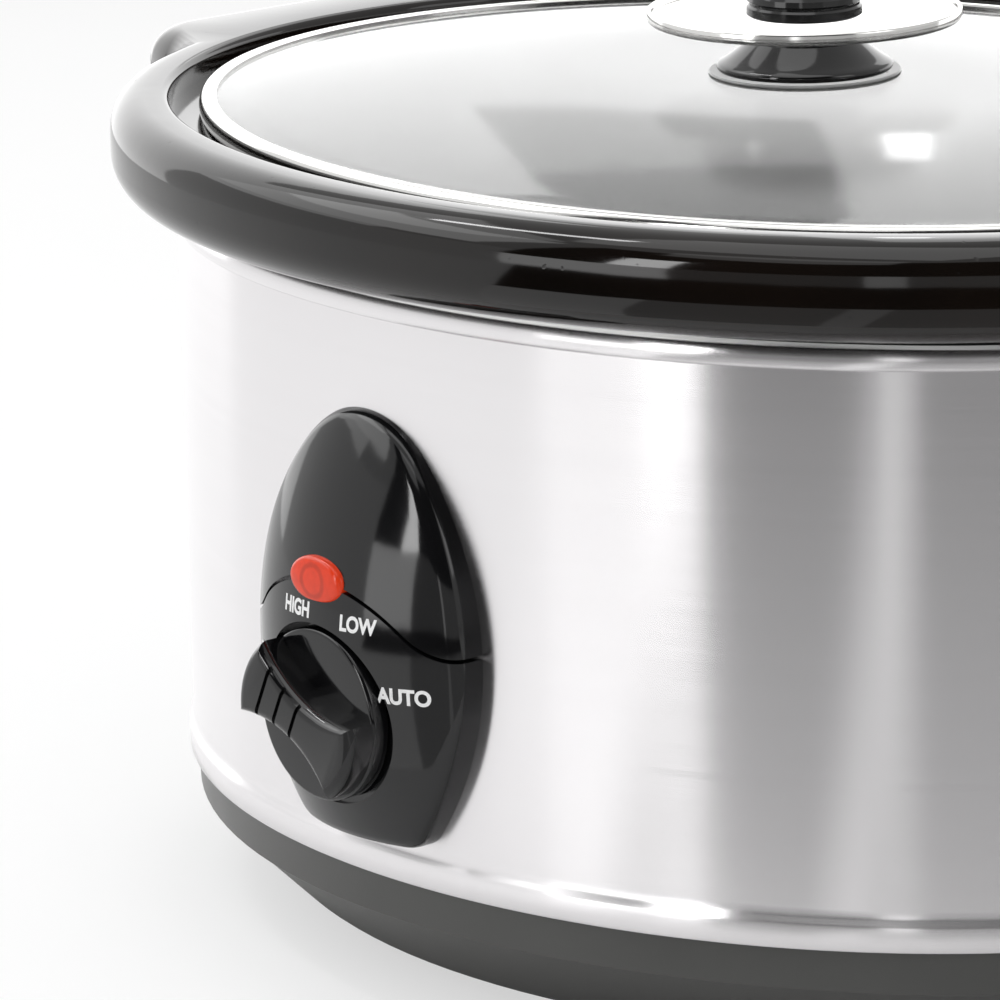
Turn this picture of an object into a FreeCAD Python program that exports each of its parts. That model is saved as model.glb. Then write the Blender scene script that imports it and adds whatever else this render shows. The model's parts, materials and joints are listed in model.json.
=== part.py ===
"""Oval slow cooker with a lift-out stoneware crock, a glass lid and a four-way selector knob.

Millimetres, +Z up, z = 0 on the worktop. The long axis of the oval is X and the controls face -Y.
The origin lies on the worktop below the middle of the oval.
"""

import FreeCAD, Part
import math
import os
import Sketcher

Vector = FreeCAD.Vector

# Driving sizes, in millimetres and degrees. Each one is a cell of the sheet, under its own name.
SIZES = {
    # steel shell
    "shell_long": 142.5,
    "shell_short": 115.5,
    "shell_height": 115.0,
    "shell_wall": 0.8,
    "bead_height": 4.2,
    "bead_proud": 1.2,
    "flare_height": 6.0,
    "flare_proud": 1.0,
    # rubber feet
    "foot_height": 4.0,
    "foot_radius": 9.0,
    "foot_stem_radius": 3.0,
    "foot_stem_length": 5.0,
    "foot_taper": 1.2,
    "foot_from_middle_x": 84.0,
    "foot_from_middle_y": 52.0,
    # plastic base
    "base_height": 24.5,
    "base_band": 8.5,
    "base_band_inset": 0.8,
    "base_taper": 17.0,
    "base_wall": 2.5,
    "base_lip": 5.0,
    "base_round": 5.0,
    "tie_dimple_radius": 15.0,
    "tie_dimple_depth": 6.0,
    "vent_length": 34.0,
    "vent_width": 4.0,
    "vent_pitch": 11.0,
    "vent_count": 5,
    "vent_from_middle": 48.0,
    # heating well
    "well_gap_top": 9.0,
    "well_gap_bottom": 21.5,
    "well_above_base": 9.5,
    "well_wall": 0.8,
    "well_round": 8.0,
    # crock
    "crock_gap": 3.5,
    "crock_floor_gap": 3.2,
    "crock_wall": 6.0,
    "crock_floor": 6.0,
    "crock_round": 12.0,
    "seat_width": 4.5,
    "seat_height": 1.7,
    "rim_overhang": 12.3,
    "rim_height": 19.5,
    "rim_round_top": 7.0,
    "rim_round_bottom": 8.0,
    "rim_broader": 1.5,
    "ledge_depth": 5.2,
    "ledge_round": 2.0,
    "lug_reach": 12.0,
    "lug_half_width": 45.0,
    "lug_round": 16.0,
    "lug_blend": 10.0,
    # lid
    "lid_gap": 6.0,
    "band_height": 4.6,
    "band_width": 3.6,
    "band_leg": 0.8,
    "band_round": 1.0,
    "glass_thick": 2.8,
    "glass_fit": 0.1,
    "dome_rise": 6.7,
    "dome_share": 0.88,
    # lid knob
    "screw_radius": 2.4,
    "screw_play": 0.2,
    "screw_head_radius": 4.6,
    "screw_head_height": 3.0,
    "lid_washer_radius": 9.0,
    "lid_washer_thick": 0.8,
    "gasket_radius": 19.3,
    "gasket_thick": 0.6,
    "knob_foot_radius": 17.7,
    "knob_foot_thick": 2.0,
    "knob_stem_radius": 11.3,
    "knob_stem_height": 10.0,
    "guard_radius": 31.5,
    "guard_thick": 0.9,
    "guard_dish": 1.6,
    "guard_edge": 5.0,
    "neck_radius": 11.6,
    "neck_waist": 10.4,
    "neck_height": 5.5,
    "cap_radius": 23.0,
    "cap_height": 24.0,
    "cap_edge": 6.0,
    # control panel
    "panel_half_width": 29.8,
    "panel_widest_z": 47.0,
    "panel_top_z": 93.0,
    "panel_bottom_z": 8.8,
    "panel_side_radius": 61.0,
    "panel_corner": 6.0,
    "panel_bulge": 15.0,
    "panel_round_across": 45.0,
    "panel_round_up": 90.0,
    "panel_middle_z": 45.0,
    "panel_wall": 2.5,
    "joint_crest_z": 61.5,
    "joint_drop": 12.7,
    "joint_reach": 31.5,
    "joint_crest_radius": 30.0,
    "joint_gap": 0.8,
    "window_half_width": 19.0,
    "window_bottom_z": 18.0,
    "window_top_z": 70.0,
    "panel_screw_radius": 1.5,
    "panel_screw_head": 3.0,
    "panel_screw_length": 4.5,
    "panel_boss_radius": 3.6,
    "lower_boss_x": 12.0,
    "lower_boss_z": 13.0,
    "upper_boss_x": 10.0,
    "upper_boss_z": 77.5,
    # lamp
    "lens_half_width": 7.6,
    "lens_half_height": 4.7,
    "lens_z": 61.4,
    "lens_proud": 1.0,
    "lens_depth": 5.5,
    "lens_round": 1.1,
    "lens_fit": 0.15,
    "lens_socket_radius": 4.2,
    "lens_socket_length": 4.0,
    "lamp_radius": 3.0,
    "lamp_length": 12.0,
    # selector
    "selector_z": 34.9,
    "selector_radius": 17.0,
    "selector_skirt": 4.0,
    "selector_height": 10.4,
    "selector_play": 0.6,
    "selector_off_angle": 155.0,
    "bar_waist": 4.6,
    "bar_end": 8.4,
    "bar_round": 2.0,
    "grip_groove": 1.0,
    "grip_groove_depth": 0.9,
    "grip_pitch": 3.6,
    "grip_count": 3,
    "shaft_radius": 3.0,
    "shaft_flat": 1.0,
    "shaft_play": 0.06,
    "shaft_in_knob": 6.4,
    "spot_face_margin": 1.2,
    "spot_face_depth": 4.7,
    "switch_boss_depth": 4.4,
    "switch_half_width": 12.0,
    "switch_depth": 15.0,
    "switch_shaft_depth": 11.0,
    "switch_screw_from_axis": 9.0,
    "switch_screw_radius": 1.4,
    "switch_screw_head": 2.8,
    "switch_screw_length": 9.0,
    # heater and wiring
    "heater_bottom": 14.0,
    "heater_height": 52.0,
    "heater_thick": 2.0,
    "heater_gap": 0.15,
    "wrap_thick": 2.8,
    "shield_thick": 0.8,
    "shield_margin": 0.6,
    "stud_radius": 3.0,
    "stud_end": 1.5,
    "nut_flats": 10.0,
    "nut_height": 3.2,
    "washer_radius": 8.0,
    "washer_thick": 1.0,
    "fuse_radius": 1.8,
    "fuse_length": 14.0,
    "fuse_y": 50.0,
    "block_length": 16.0,
    "block_depth": 10.0,
    "block_height": 8.0,
    "lead_radius": 1.2,
    "lead_spread": 4.5,
    # cord inlet
    "bushing_z": 17.0,
    "bushing_bore": 3.75,
    "bushing_barrel": 5.8,
    "bushing_flange": 8.5,
    "bushing_flange_thick": 3.0,
    "bushing_inside": 6.0,
    "bushing_edge": 1.0,
    # side handles
    "handle_z": 74.0,
    "handle_thick": 13.0,
    "handle_reach": 16.5,
    "handle_half_width": 29.0,
    "handle_corner": 11.0,
    "handle_wall": 3.2,
    "handle_roof": 4.0,
    "handle_round": 2.4,
    "handle_boss_radius": 4.5,
    "handle_screw_y": 16.0,
    "handle_screw_radius": 1.8,
    "handle_screw_head": 3.6,
    "handle_screw_length": 9.0,
    # heads of the small screws
    "small_head": 2.0,
    # play round every screw in its clearance hole
    "hole_play": 0.2,
}

doc = FreeCAD.newDocument("SlowCooker")
sheet = doc.addObject("Spreadsheet::Sheet", "Sizes")
for row, (alias, number) in enumerate(SIZES.items(), start=1):
    sheet.set(f"A{row}", alias)
    sheet.set(f"B{row}", str(number))
    sheet.setAlias(f"B{row}", alias)
doc.recompute()


class Size:
    """A length or an angle: the expression that binds it to the sheet, and its number now."""

    def __init__(self, text, number):
        self.text = text
        self.number = number

    def __add__(self, other):
        other = as_size(other)
        return Size(f"({self.text} + {other.text})", self.number + other.number)

    def __sub__(self, other):
        other = as_size(other)
        return Size(f"({self.text} - {other.text})", self.number - other.number)

    def __mul__(self, other):
        other = as_size(other)
        return Size(f"({self.text} * {other.text})", self.number * other.number)

    def __truediv__(self, other):
        other = as_size(other)
        return Size(f"({self.text} / {other.text})", self.number / other.number)

    def __rsub__(self, other):
        return as_size(other) - self

    def __neg__(self):
        return Size(f"(0 - {self.text})", -self.number)

    __radd__ = __add__
    __rmul__ = __mul__

    def root(self):
        return Size(f"sqrt({self.text})", math.sqrt(self.number))


def as_size(value):
    return value if isinstance(value, Size) else Size(repr(float(value)), float(value))


class Sheet:
    """Gives each cell of the sheet as an attribute: S.shell_long is the cell shell_long."""

    def __getattr__(self, alias):
        return Size(f"Sizes.{alias}", float(sheet.get(alias)))


S = Sheet()

ROUND_STEPS = 3
X_AXIS = Vector(1, 0, 0)
Y_AXIS = Vector(0, 1, 0)
# Where the centres of a four-arc oval lie, as shares of its spread, close to an ellipse.
END_SHARE = 1.574
SIDE_SHARE = (2 * END_SHARE - 1) / (2 * END_SHARE - 2)


def bind(thing, prop, size):
    thing.setExpression(prop, as_size(size).text)


def new_body(label):
    made = doc.addObject("PartDesign::Body", label)
    made.Label = label
    return made


def sketch_on(body, role, level):
    """A sketch on one of the body's own origin planes, moved along its normal by level."""
    plane = next(item for item in body.Origin.OriginFeatures if item.Role == role)
    sketch = body.newObject("Sketcher::SketchObject", "Sketch")
    sketch.AttachmentSupport = [(plane, "")]
    sketch.MapMode = "FlatFace"
    sketch.AttachmentOffset = FreeCAD.Placement(
        Vector(0, 0, as_size(level).number), FreeCAD.Rotation()
    )
    bind(sketch, "AttachmentOffset.Base.z", level)
    return sketch


def dimension(sketch, name, kind, where, size):
    """One driving dimension of a sketch, tied to the sheet. A zero becomes a point on the axis."""
    size = as_size(size)
    if kind in ("DistanceX", "DistanceY") and size.text == "0.0":
        axis = -2 if kind == "DistanceX" else -1
        sketch.addConstraint(Sketcher.Constraint("PointOnObject", *where, axis))
        return
    origin = (-1, 1) if kind in ("DistanceX", "DistanceY") else ()
    index = sketch.addConstraint(Sketcher.Constraint(kind, *origin, *where, size.number))
    sketch.renameConstraint(index, name)
    bind(sketch, f"Constraints.{name}", size)


def oval_arcs(long, spread):
    """Centres and radii of a four-arc oval: the round ends, then the flatter sides.

    The spread is how much longer the long radius is than the short one. Ovals of one spread have
    their arcs about the same centres, so that the wall between two of them is even.
    """
    end_centre = spread * END_SHARE
    side_centre = spread * SIDE_SHARE
    return end_centre, long - end_centre, side_centre, long - spread + side_centre


def oval_outline(long, spread, y=0.0):
    """A four-arc oval whose arcs run into each other."""
    end_centre, end, _, side = oval_arcs(long, spread)
    slope = END_SHARE + SIDE_SHARE - 1
    join_x = end_centre + end * (END_SHARE / slope)
    join_y = end * (SIDE_SHARE / slope)
    return [
        (join_x, y - join_y, end),
        (join_x, y + join_y, side),
        (-join_x, y + join_y, end),
        (-join_x, y - join_y, side),
    ]


def oval(body, long, spread, level, role="XY_Plane", y=0.0):
    """A sketch of one oval."""
    return draw(sketch_on(body, role, level), oval_outline(long, spread, y))


def circles(body, role, level, radius, places):
    """A sketch of equal circles, one at each place."""
    sketch = sketch_on(body, role, level)
    for n, (x, y) in enumerate(places):
        middle = Vector(as_size(x).number, as_size(y).number, 0)
        ring = sketch.addGeometry(Part.Circle(middle, Vector(0, 0, 1), as_size(radius).number))
        dimension(sketch, f"across_{n}", "DistanceX", (ring, 3), x)
        dimension(sketch, f"up_{n}", "DistanceY", (ring, 3), y)
        dimension(sketch, f"radius_{n}", "Radius", (ring,), radius)
    return sketch


def arc_between(start, end, radius):
    """The shorter arc from start to end: a positive radius turns left, a negative one right."""
    chord = end - start
    middle = (start + end) * 0.5
    left = Vector(-chord.y, chord.x, 0).normalize()
    drop = math.sqrt(max(radius * radius - chord.Length**2 / 4, 0.0))
    centre = middle + left * math.copysign(drop, radius)
    outward = (middle - centre).normalize()
    return Part.Arc(start, centre + outward * abs(radius), end)


def draw(sketch, points):
    """A closed outline. Each point is (x, y), or (x, y, radius) where an arc leads to the next."""
    count = len(points)
    spots = [Vector(as_size(p[0]).number, as_size(p[1]).number, 0) for p in points]
    first = sketch.GeometryCount
    ends = []
    for n, point in enumerate(points):
        start = spots[n]
        end = spots[(n + 1) % count]
        if len(point) == 2:
            sketch.addGeometry(Part.LineSegment(start, end))
            ends.append((1, 2))
            continue
        turn = as_size(point[2])
        sketch.addGeometry(arc_between(start, end, turn.number))
        ends.append((1, 2) if turn.number > 0 else (2, 1))
    for n, point in enumerate(points):
        here = first + n
        after = (n + 1) % count
        join = (here, ends[n][1], first + after, ends[after][0])
        sketch.addConstraint(Sketcher.Constraint("Coincident", *join))
        dimension(sketch, f"across_{here}", "DistanceX", (here, ends[n][0]), point[0])
        dimension(sketch, f"up_{here}", "DistanceY", (here, ends[n][0]), point[1])
        if len(point) == 3:
            size = as_size(point[2])
            dimension(sketch, f"radius_{here}", "Radius", (here,), size if size.number > 0 else -size)
    return sketch


def outline(body, role, level, points):
    return draw(sketch_on(body, role, level), points)


def rectangle(x0, x1, y0, y1):
    return [(x0, y0), (x1, y0), (x1, y1), (x0, y1)]


def checked(body, feature, before):
    """Recomputes, and makes sure that the shape is sound and that a cut took material away."""
    doc.recompute()
    if not feature.Shape.isValid():
        raise RuntimeError(f"{body.Label}: {feature.Name} is not a valid shape")
    if before is not None and feature.Shape.Volume > before - 1e-6:
        raise RuntimeError(f"{body.Label}: {feature.Name} removed nothing")
    return feature


def pad(body, sketch, length, backwards=False):
    feature = body.newObject("PartDesign::Pad", "Pad")
    feature.Profile = sketch
    feature.Reversed = backwards
    bind(feature, "Length", length)
    return checked(body, feature, None)


def pocket(body, sketch, length=None, backwards=False):
    """A cut of a given length, or right through where no length is given."""
    before = body.Tip.Shape.Volume
    feature = body.newObject("PartDesign::Pocket", "Pocket")
    feature.Profile = sketch
    feature.Reversed = backwards
    if length is None:
        feature.Type = "ThroughAll"
    else:
        bind(feature, "Length", length)
    return checked(body, feature, before)


def loft(body, sketches, cut=False):
    before = body.Tip.Shape.Volume if cut else None
    kind = "PartDesign::SubtractiveLoft" if cut else "PartDesign::AdditiveLoft"
    feature = body.newObject(kind, "Loft")
    feature.Profile = sketches[0]
    feature.Sections = sketches[1:]
    feature.Ruled = True
    return checked(body, feature, before)


def spin(body, sketch, axis):
    """A full turn of a profile about the sketch's own vertical (V) or horizontal (H) axis."""
    feature = body.newObject("PartDesign::Revolution", "Revolution")
    feature.Profile = sketch
    feature.ReferenceAxis = (sketch, [f"{axis}_Axis"])
    feature.Angle = 360
    return checked(body, feature, None)


def soften(body, radius, wanted, bevel=False):
    """Rounds the edges of the tip that the test picks, or bevels them."""
    base = body.Tip
    names = [f"Edge{n}" for n, edge in enumerate(base.Shape.Edges, start=1) if wanted(edge)]
    if not names:
        raise RuntimeError(f"{body.Label}: no edge to round")
    kind = "Chamfer" if bevel else "Fillet"
    feature = body.newObject(f"PartDesign::{kind}", kind)
    feature.Base = (base, names)
    bind(feature, "Size" if bevel else "Radius", radius)
    return checked(body, feature, None)


def level_edge(z, beyond=None, within=None):
    """Picks level edges at a height, outside one oval and inside another where these are given."""
    height = as_size(z).number

    def share(edge, radii):
        spot = edge.valueAt((edge.FirstParameter + edge.LastParameter) / 2)
        long, spread = radii
        return (spot.x / long.number) ** 2 + (spot.y / (long - spread).number) ** 2

    def test(edge):
        box = edge.BoundBox
        if abs(box.ZMin - height) > 0.01 or abs(box.ZMax - height) > 0.01:
            return False
        if beyond and share(edge, beyond) < 1:
            return False
        return not within or share(edge, within) < 1

    return test


def front_edge(y):
    """Picks edges that lie in the upright plane at y."""
    depth = as_size(y).number

    def test(edge):
        box = edge.BoundBox
        return abs(box.YMin - depth) < 0.01 and abs(box.YMax - depth) < 0.01

    return test


def solid(kind, **sizes):
    """A Part primitive, with each of its sizes tied to the sheet."""
    made = doc.addObject(kind, "Solid")
    for prop, size in sizes.items():
        bind(made, prop, size)
    return made


def place(made, x=0.0, y=0.0, z=0.0, axis=None, angle=0.0):
    """Puts an object at a spot, turned about an axis, with the spot tied to the sheet."""
    turn = FreeCAD.Rotation(axis, angle) if axis else FreeCAD.Rotation()
    spot = Vector(as_size(x).number, as_size(y).number, as_size(z).number)
    made.Placement = FreeCAD.Placement(spot, turn)
    for prop, size in (("x", x), ("y", y), ("z", z)):
        bind(made, f"Placement.Base.{prop}", size)
    return made


def rod_y(radius, start, end, x, z):
    """A round rod along Y, from start to end with start the lower."""
    made = solid("Part::Cylinder", Radius=radius, Height=as_size(end) - start)
    return place(made, x, start, z, X_AXIS, -90)


def rod_x(radius, start, end, y, z):
    """A round rod along X, from start to end with start the lower."""
    made = solid("Part::Cylinder", Radius=radius, Height=as_size(end) - start)
    return place(made, start, y, z, Y_AXIS, 90)


def rod_z(radius, bottom, top, x=0.0, y=0.0):
    """An upright round rod from bottom to top."""
    made = solid("Part::Cylinder", Radius=radius, Height=as_size(top) - bottom)
    return place(made, x, y, bottom)


def block(x0, x1, y0, y1, z0, z1):
    made = solid(
        "Part::Box",
        Length=as_size(x1) - x0,
        Width=as_size(y1) - y0,
        Height=as_size(z1) - z0,
    )
    return place(made, x0, y0, z0)


def cut(base, tool):
    made = doc.addObject("Part::Cut", "Cut")
    made.Base = base
    made.Tool = tool
    made.Refine = True
    return made


def fuse(*shapes):
    made = doc.addObject("Part::MultiFuse", "Fuse")
    made.Shapes = list(shapes)
    made.Refine = True
    return made


def common(*shapes):
    made = doc.addObject("Part::MultiCommon", "Common")
    made.Shapes = list(shapes)
    made.Refine = True
    return made


def group(*shapes):
    """Separate solids that share one node."""
    made = doc.addObject("Part::Compound", "Group")
    made.Links = list(shapes)
    return made


nodes = {}


def node(label, made):
    made.Label = label
    nodes[label] = made
    return made


# Levels that several pieces share, counted up from the worktop.
base_bottom = S.foot_height
shell_bottom = base_bottom + S.base_height
shell_top = shell_bottom + S.shell_height
flange_top = shell_top + S.well_wall
well_bottom = shell_bottom + S.well_above_base
rim_bottom = flange_top + S.seat_height
rim_top = rim_bottom + S.rim_height
ledge = rim_top - S.ledge_depth
band_top = ledge + S.band_height
glass_bottom = ledge + S.band_leg + S.glass_fit
glass_edge_top = glass_bottom + S.glass_thick
glass_top = glass_edge_top + S.dome_rise
lip_top = shell_bottom + S.base_lip
dimple_top = base_bottom + S.tie_dimple_depth


spread = S.shell_long - S.shell_short
rim_spread = spread - S.rim_broader


def outside_shell(extra=0.0):
    """The shell's oval, grown by extra: its long radius and its spread."""
    return S.shell_long + extra, spread


def well_radii(level, extra):
    """The tapered well's outside at a level, grown by extra: its long radius and its spread."""
    share = (level - well_bottom) / (flange_top - well_bottom)
    inset = S.well_gap_bottom + (S.well_gap_top - S.well_gap_bottom) * share
    return S.shell_long - inset + S.well_wall + extra, spread


def bowl_rings(body, bottom, top, extra, radius):
    """Ovals of a tapered bowl: a rounded foot in even steps, then a straight side up to the top."""
    rings = []
    for step in range(ROUND_STEPS + 1):
        turn = math.radians(90 * step / ROUND_STEPS)
        level = bottom + radius * (1 - math.cos(turn))
        inset = radius * (1 - math.sin(turn))
        rings.append(oval(body, *well_radii(level, extra - inset), level))
    rings.append(oval(body, *well_radii(top, extra), top))
    return rings


def front_at(x):
    """How far the shell's front lies from the long axis, at a distance x from the middle."""
    _, _, centre, radius = oval_arcs(*outside_shell())
    return (radius * radius - x * x).root() - centre


def end_at(y):
    """How far the shell's end lies from the short axis, at a distance y from the long axis."""
    centre, radius, _, _ = oval_arcs(*outside_shell())
    return (radius * radius - y * y).root() + centre


# Places on the front, counted up from the shell's lower edge.
selector_z = shell_bottom + S.selector_z
lens_z = shell_bottom + S.lens_z
lens_spread = S.lens_half_width - S.lens_half_height
lower_boss_z = shell_bottom + S.lower_boss_z
upper_boss_z = shell_bottom + S.upper_boss_z
window_bottom = shell_bottom + S.window_bottom_z
window_top = shell_bottom + S.window_top_z
panel_front = S.shell_short + S.panel_bulge
spot_face = panel_front - S.spot_face_depth - S.selector_play
switch_front = spot_face - S.switch_boss_depth
switch_back = switch_front - S.switch_depth
selector_back = spot_face + S.selector_play
panel_screws_at = [
    (S.lower_boss_x, lower_boss_z),
    (-S.lower_boss_x, lower_boss_z),
    (S.upper_boss_x, upper_boss_z),
    (-S.upper_boss_x, upper_boss_z),
]
handle_bottom = shell_bottom + S.handle_z
handle_top = handle_bottom + S.handle_thick
handle_screw_z = handle_bottom + S.handle_thick / 2
handle_screws_at = [(S.handle_screw_y, handle_screw_z), (-S.handle_screw_y, handle_screw_z)]
bushing_z = shell_bottom + S.bushing_z


def build_shell():
    """Steel wrap: an oval wall with a rolled bead at its top and a flared foot."""
    body = new_body("outer_shell")
    pad(body, oval(body, *outside_shell(), shell_bottom), S.shell_height)
    pad(body, oval(body, *outside_shell(S.flare_proud), shell_bottom), S.flare_height)
    bead_bottom = shell_top - S.bead_height
    pad(body, oval(body, *outside_shell(S.bead_proud), bead_bottom), S.bead_height)
    flare = outside_shell(S.flare_proud / 2)
    bead = outside_shell(S.bead_proud / 2)
    soften(body, S.flare_proud * 0.9, level_edge(shell_bottom + S.flare_height, flare), bevel=True)
    soften(body, S.bead_proud * 0.9, level_edge(shell_top, bead), bevel=True)
    soften(body, S.bead_proud * 0.9, level_edge(bead_bottom, bead), bevel=True)
    pocket(body, oval(body, *outside_shell(-S.shell_wall), shell_bottom), backwards=True)
    window = rectangle(-S.window_half_width, S.window_half_width, window_bottom, window_top)
    pocket(body, outline(body, "XZ_Plane", 0.0, window), backwards=True)
    hole = S.panel_screw_radius + S.hole_play
    pocket(body, circles(body, "XZ_Plane", 0.0, hole, panel_screws_at), backwards=True)
    side = S.bushing_barrel + S.hole_play
    slot = rectangle(-side, side, shell_bottom - S.shell_wall, bushing_z + side)
    pocket(body, outline(body, "XZ_Plane", 0.0, slot))
    hole = S.handle_screw_radius + S.hole_play
    for backwards in (False, True):
        pocket(body, circles(body, "YZ_Plane", 0.0, hole, handle_screws_at), backwards=backwards)
    node("outer_shell", body)


def build_well():
    """Heating well: a tapered pan whose flange lies on the shell's bead."""
    body = new_body("heating_well")
    loft(body, bowl_rings(body, well_bottom, flange_top, 0.0, S.well_round))
    pad(body, oval(body, *outside_shell(), shell_top), S.well_wall)
    wall = S.well_wall
    inside = bowl_rings(body, well_bottom + wall, flange_top, -wall, S.well_round - wall)
    loft(body, inside, cut=True)
    node("heating_well", body)


def build_base():
    """Plastic base: an upright band over a tapered pan, with a lip that locates the shell."""
    body = new_body("base_pan")
    band_bottom = shell_bottom - S.base_band
    inset = S.base_band_inset
    taper = S.base_taper + inset
    wall = S.base_wall
    floor = base_bottom + wall
    pad(body, oval(body, *outside_shell(-inset), band_bottom), S.base_band)
    loft(
        body,
        [
            oval(body, *outside_shell(-taper), base_bottom),
            oval(body, *outside_shell(-inset * 2), band_bottom),
        ],
    )
    soften(body, S.base_round, level_edge(base_bottom))
    lip = S.shell_wall + S.hole_play
    pad(body, oval(body, *outside_shell(-lip), shell_bottom), S.base_lip)
    loft(
        body,
        [
            oval(body, *outside_shell(-taper - wall), floor),
            oval(body, *outside_shell(-inset * 2 - wall), band_bottom),
            oval(body, *outside_shell(-lip - wall), lip_top),
        ],
        cut=True,
    )
    dimple = circles(body, "XY_Plane", base_bottom, S.tie_dimple_radius + wall, [(0.0, 0.0)])
    pad(body, dimple, S.tie_dimple_depth + wall)
    pocket(
        body,
        circles(body, "XY_Plane", base_bottom, S.tie_dimple_radius, [(0.0, 0.0)]),
        S.tie_dimple_depth,
        backwards=True,
    )
    pocket(
        body,
        circles(body, "XY_Plane", base_bottom, S.stud_radius + S.hole_play, [(0.0, 0.0)]),
        backwards=True,
    )
    spots = [(x, y) for x in (-S.foot_from_middle_x, S.foot_from_middle_x)
             for y in (-S.foot_from_middle_y, S.foot_from_middle_y)]
    hole = S.foot_stem_radius + S.hole_play
    pocket(body, circles(body, "XY_Plane", base_bottom, hole, spots), wall, backwards=True)
    count = int(S.vent_count.number)
    for side in (-1, 1):
        slots = sketch_on(body, "XY_Plane", base_bottom)
        for n in range(count):
            middle = side * S.vent_from_middle + S.vent_pitch * (n - (count - 1) / 2)
            half = S.vent_width / 2
            length = S.vent_length / 2
            draw(slots, rectangle(middle - half, middle + half, -length, length))
        pocket(body, slots, wall, backwards=True)
    node("base_pan", body)


def build_feet():
    """Rubber feet pushed into the floor of the base."""
    for end, x in (("left", -S.foot_from_middle_x), ("right", S.foot_from_middle_x)):
        for side, y in (("front", -S.foot_from_middle_y), ("rear", S.foot_from_middle_y)):
            body = new_body(f"foot_{side}_{end}")
            stem_top = base_bottom + S.foot_stem_length
            points = [
                (0.0, 0.0),
                (S.foot_radius - S.foot_taper, 0.0),
                (S.foot_radius, base_bottom),
                (S.foot_stem_radius, base_bottom),
                (S.foot_stem_radius, stem_top),
                (0.0, stem_top),
            ]
            spin(body, outline(body, "XZ_Plane", 0.0, points), "V")
            place(body, x, y)
            node(body.Label, body)


def build_crock():
    """Stoneware crock: a tapered oval bowl under a thick rounded rim with a lug at each end."""
    body = new_body("crock")
    outside = -S.well_wall - S.crock_gap
    bottom = well_bottom + S.well_wall + S.crock_floor_gap
    loft(body, bowl_rings(body, bottom, rim_bottom, outside, S.crock_round))
    seat = well_radii(flange_top, S.seat_width)
    pad(body, oval(body, *seat, flange_top), S.seat_height)
    pad(body, oval(body, S.shell_long + S.rim_overhang, rim_spread, rim_bottom), S.rim_height)
    tip = S.shell_long + S.rim_overhang + S.lug_reach
    corner = S.lug_round
    half = S.lug_half_width
    lug = [
        (-tip + corner, -half),
        (tip - corner, -half, corner),
        (tip, -half + corner),
        (tip, half - corner, corner),
        (tip - corner, half),
        (-tip + corner, half, corner),
        (-tip, half - corner),
        (-tip, -half + corner, corner),
    ]
    pad(body, outline(body, "XY_Plane", rim_bottom, lug), S.rim_height)
    upright = S.rim_height.number
    nook = half.number

    def meets_lug(edge):
        box = edge.BoundBox
        tall = abs(box.ZLength - upright) < 0.01 and box.XLength + box.YLength < 0.01
        return tall and abs(abs(box.YMin) - nook) < 0.01 and abs(box.XMin) < (tip - corner).number - 1

    soften(body, S.lug_blend, meets_lug)
    soften(body, S.rim_round_top, level_edge(rim_top))
    soften(body, S.rim_round_bottom, level_edge(rim_bottom, outside_shell(S.rim_overhang / 2)))
    pocket(body, oval(body, S.shell_long, rim_spread, rim_top), S.ledge_depth)
    inside = outside - S.crock_wall
    floor = bottom + S.crock_floor
    loft(body, bowl_rings(body, floor, ledge, inside, S.crock_round), cut=True)
    ridge = outside_shell((S.rim_overhang - S.rim_round_top) / 2 + S.rim_broader)
    soften(body, S.ledge_round / 2, level_edge(rim_top, None, ridge), bevel=True)
    mouth = well_radii(ledge, inside + S.ledge_round)
    soften(body, S.ledge_round, level_edge(ledge, None, mouth), bevel=True)
    node("crock", body)


lid_long = S.shell_long - S.lid_gap


def build_lid_glass():
    """Glass lid: a level edge that the steel band grips, and a very shallow dome."""
    body = new_body("lid_glass")
    edge = S.band_leg + S.glass_fit
    pad(body, oval(body, lid_long - edge, rim_spread, glass_bottom), S.glass_thick)
    # Shares of the way in to the flat middle, and of the rise, for a shallow arch.
    dome_run = (lid_long - rim_spread * END_SHARE) * S.dome_share
    arch = [(0.0, 0.0), (0.35, 0.54), (0.7, 0.88), (1.0, 1.0)]

    def dome(start, lift):
        rings = []
        for inward, up in arch:
            long = lid_long - start - dome_run * inward
            rings.append(oval(body, long, rim_spread, lift + S.dome_rise * up))
        return rings

    grip = S.band_width + S.glass_fit
    loft(body, dome(grip, glass_edge_top))
    loft(body, dome(grip + S.glass_thick, glass_bottom), cut=True)
    hole = S.screw_radius + S.screw_play
    pocket(body, circles(body, "XY_Plane", glass_top, hole, [(0.0, 0.0)]))
    node("lid_glass", body)


def build_lid_band():
    """Steel band rolled round the edge of the glass, open towards the middle."""
    body = new_body("lid_rim_band")
    pad(body, oval(body, lid_long, rim_spread, ledge), S.band_height)
    soften(body, S.band_round, level_edge(band_top), bevel=True)
    soften(body, S.band_round, level_edge(ledge), bevel=True)
    pocket(body, oval(body, lid_long - S.band_width, rim_spread, band_top))
    slot_bottom = ledge + S.band_leg
    depth = S.glass_thick + S.glass_fit * 2
    pocket(body, oval(body, lid_long - S.band_leg, rim_spread, slot_bottom), depth, backwards=True)
    node("lid_rim_band", body)


gasket_top = glass_top + S.gasket_thick
stem_top = gasket_top + S.knob_stem_height
guard_top = stem_top + S.guard_thick
neck_top = guard_top + S.neck_height
cap_top = guard_top + S.cap_height
glass_under = glass_top - S.glass_thick
washer_under = glass_under - S.lid_washer_thick


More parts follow.
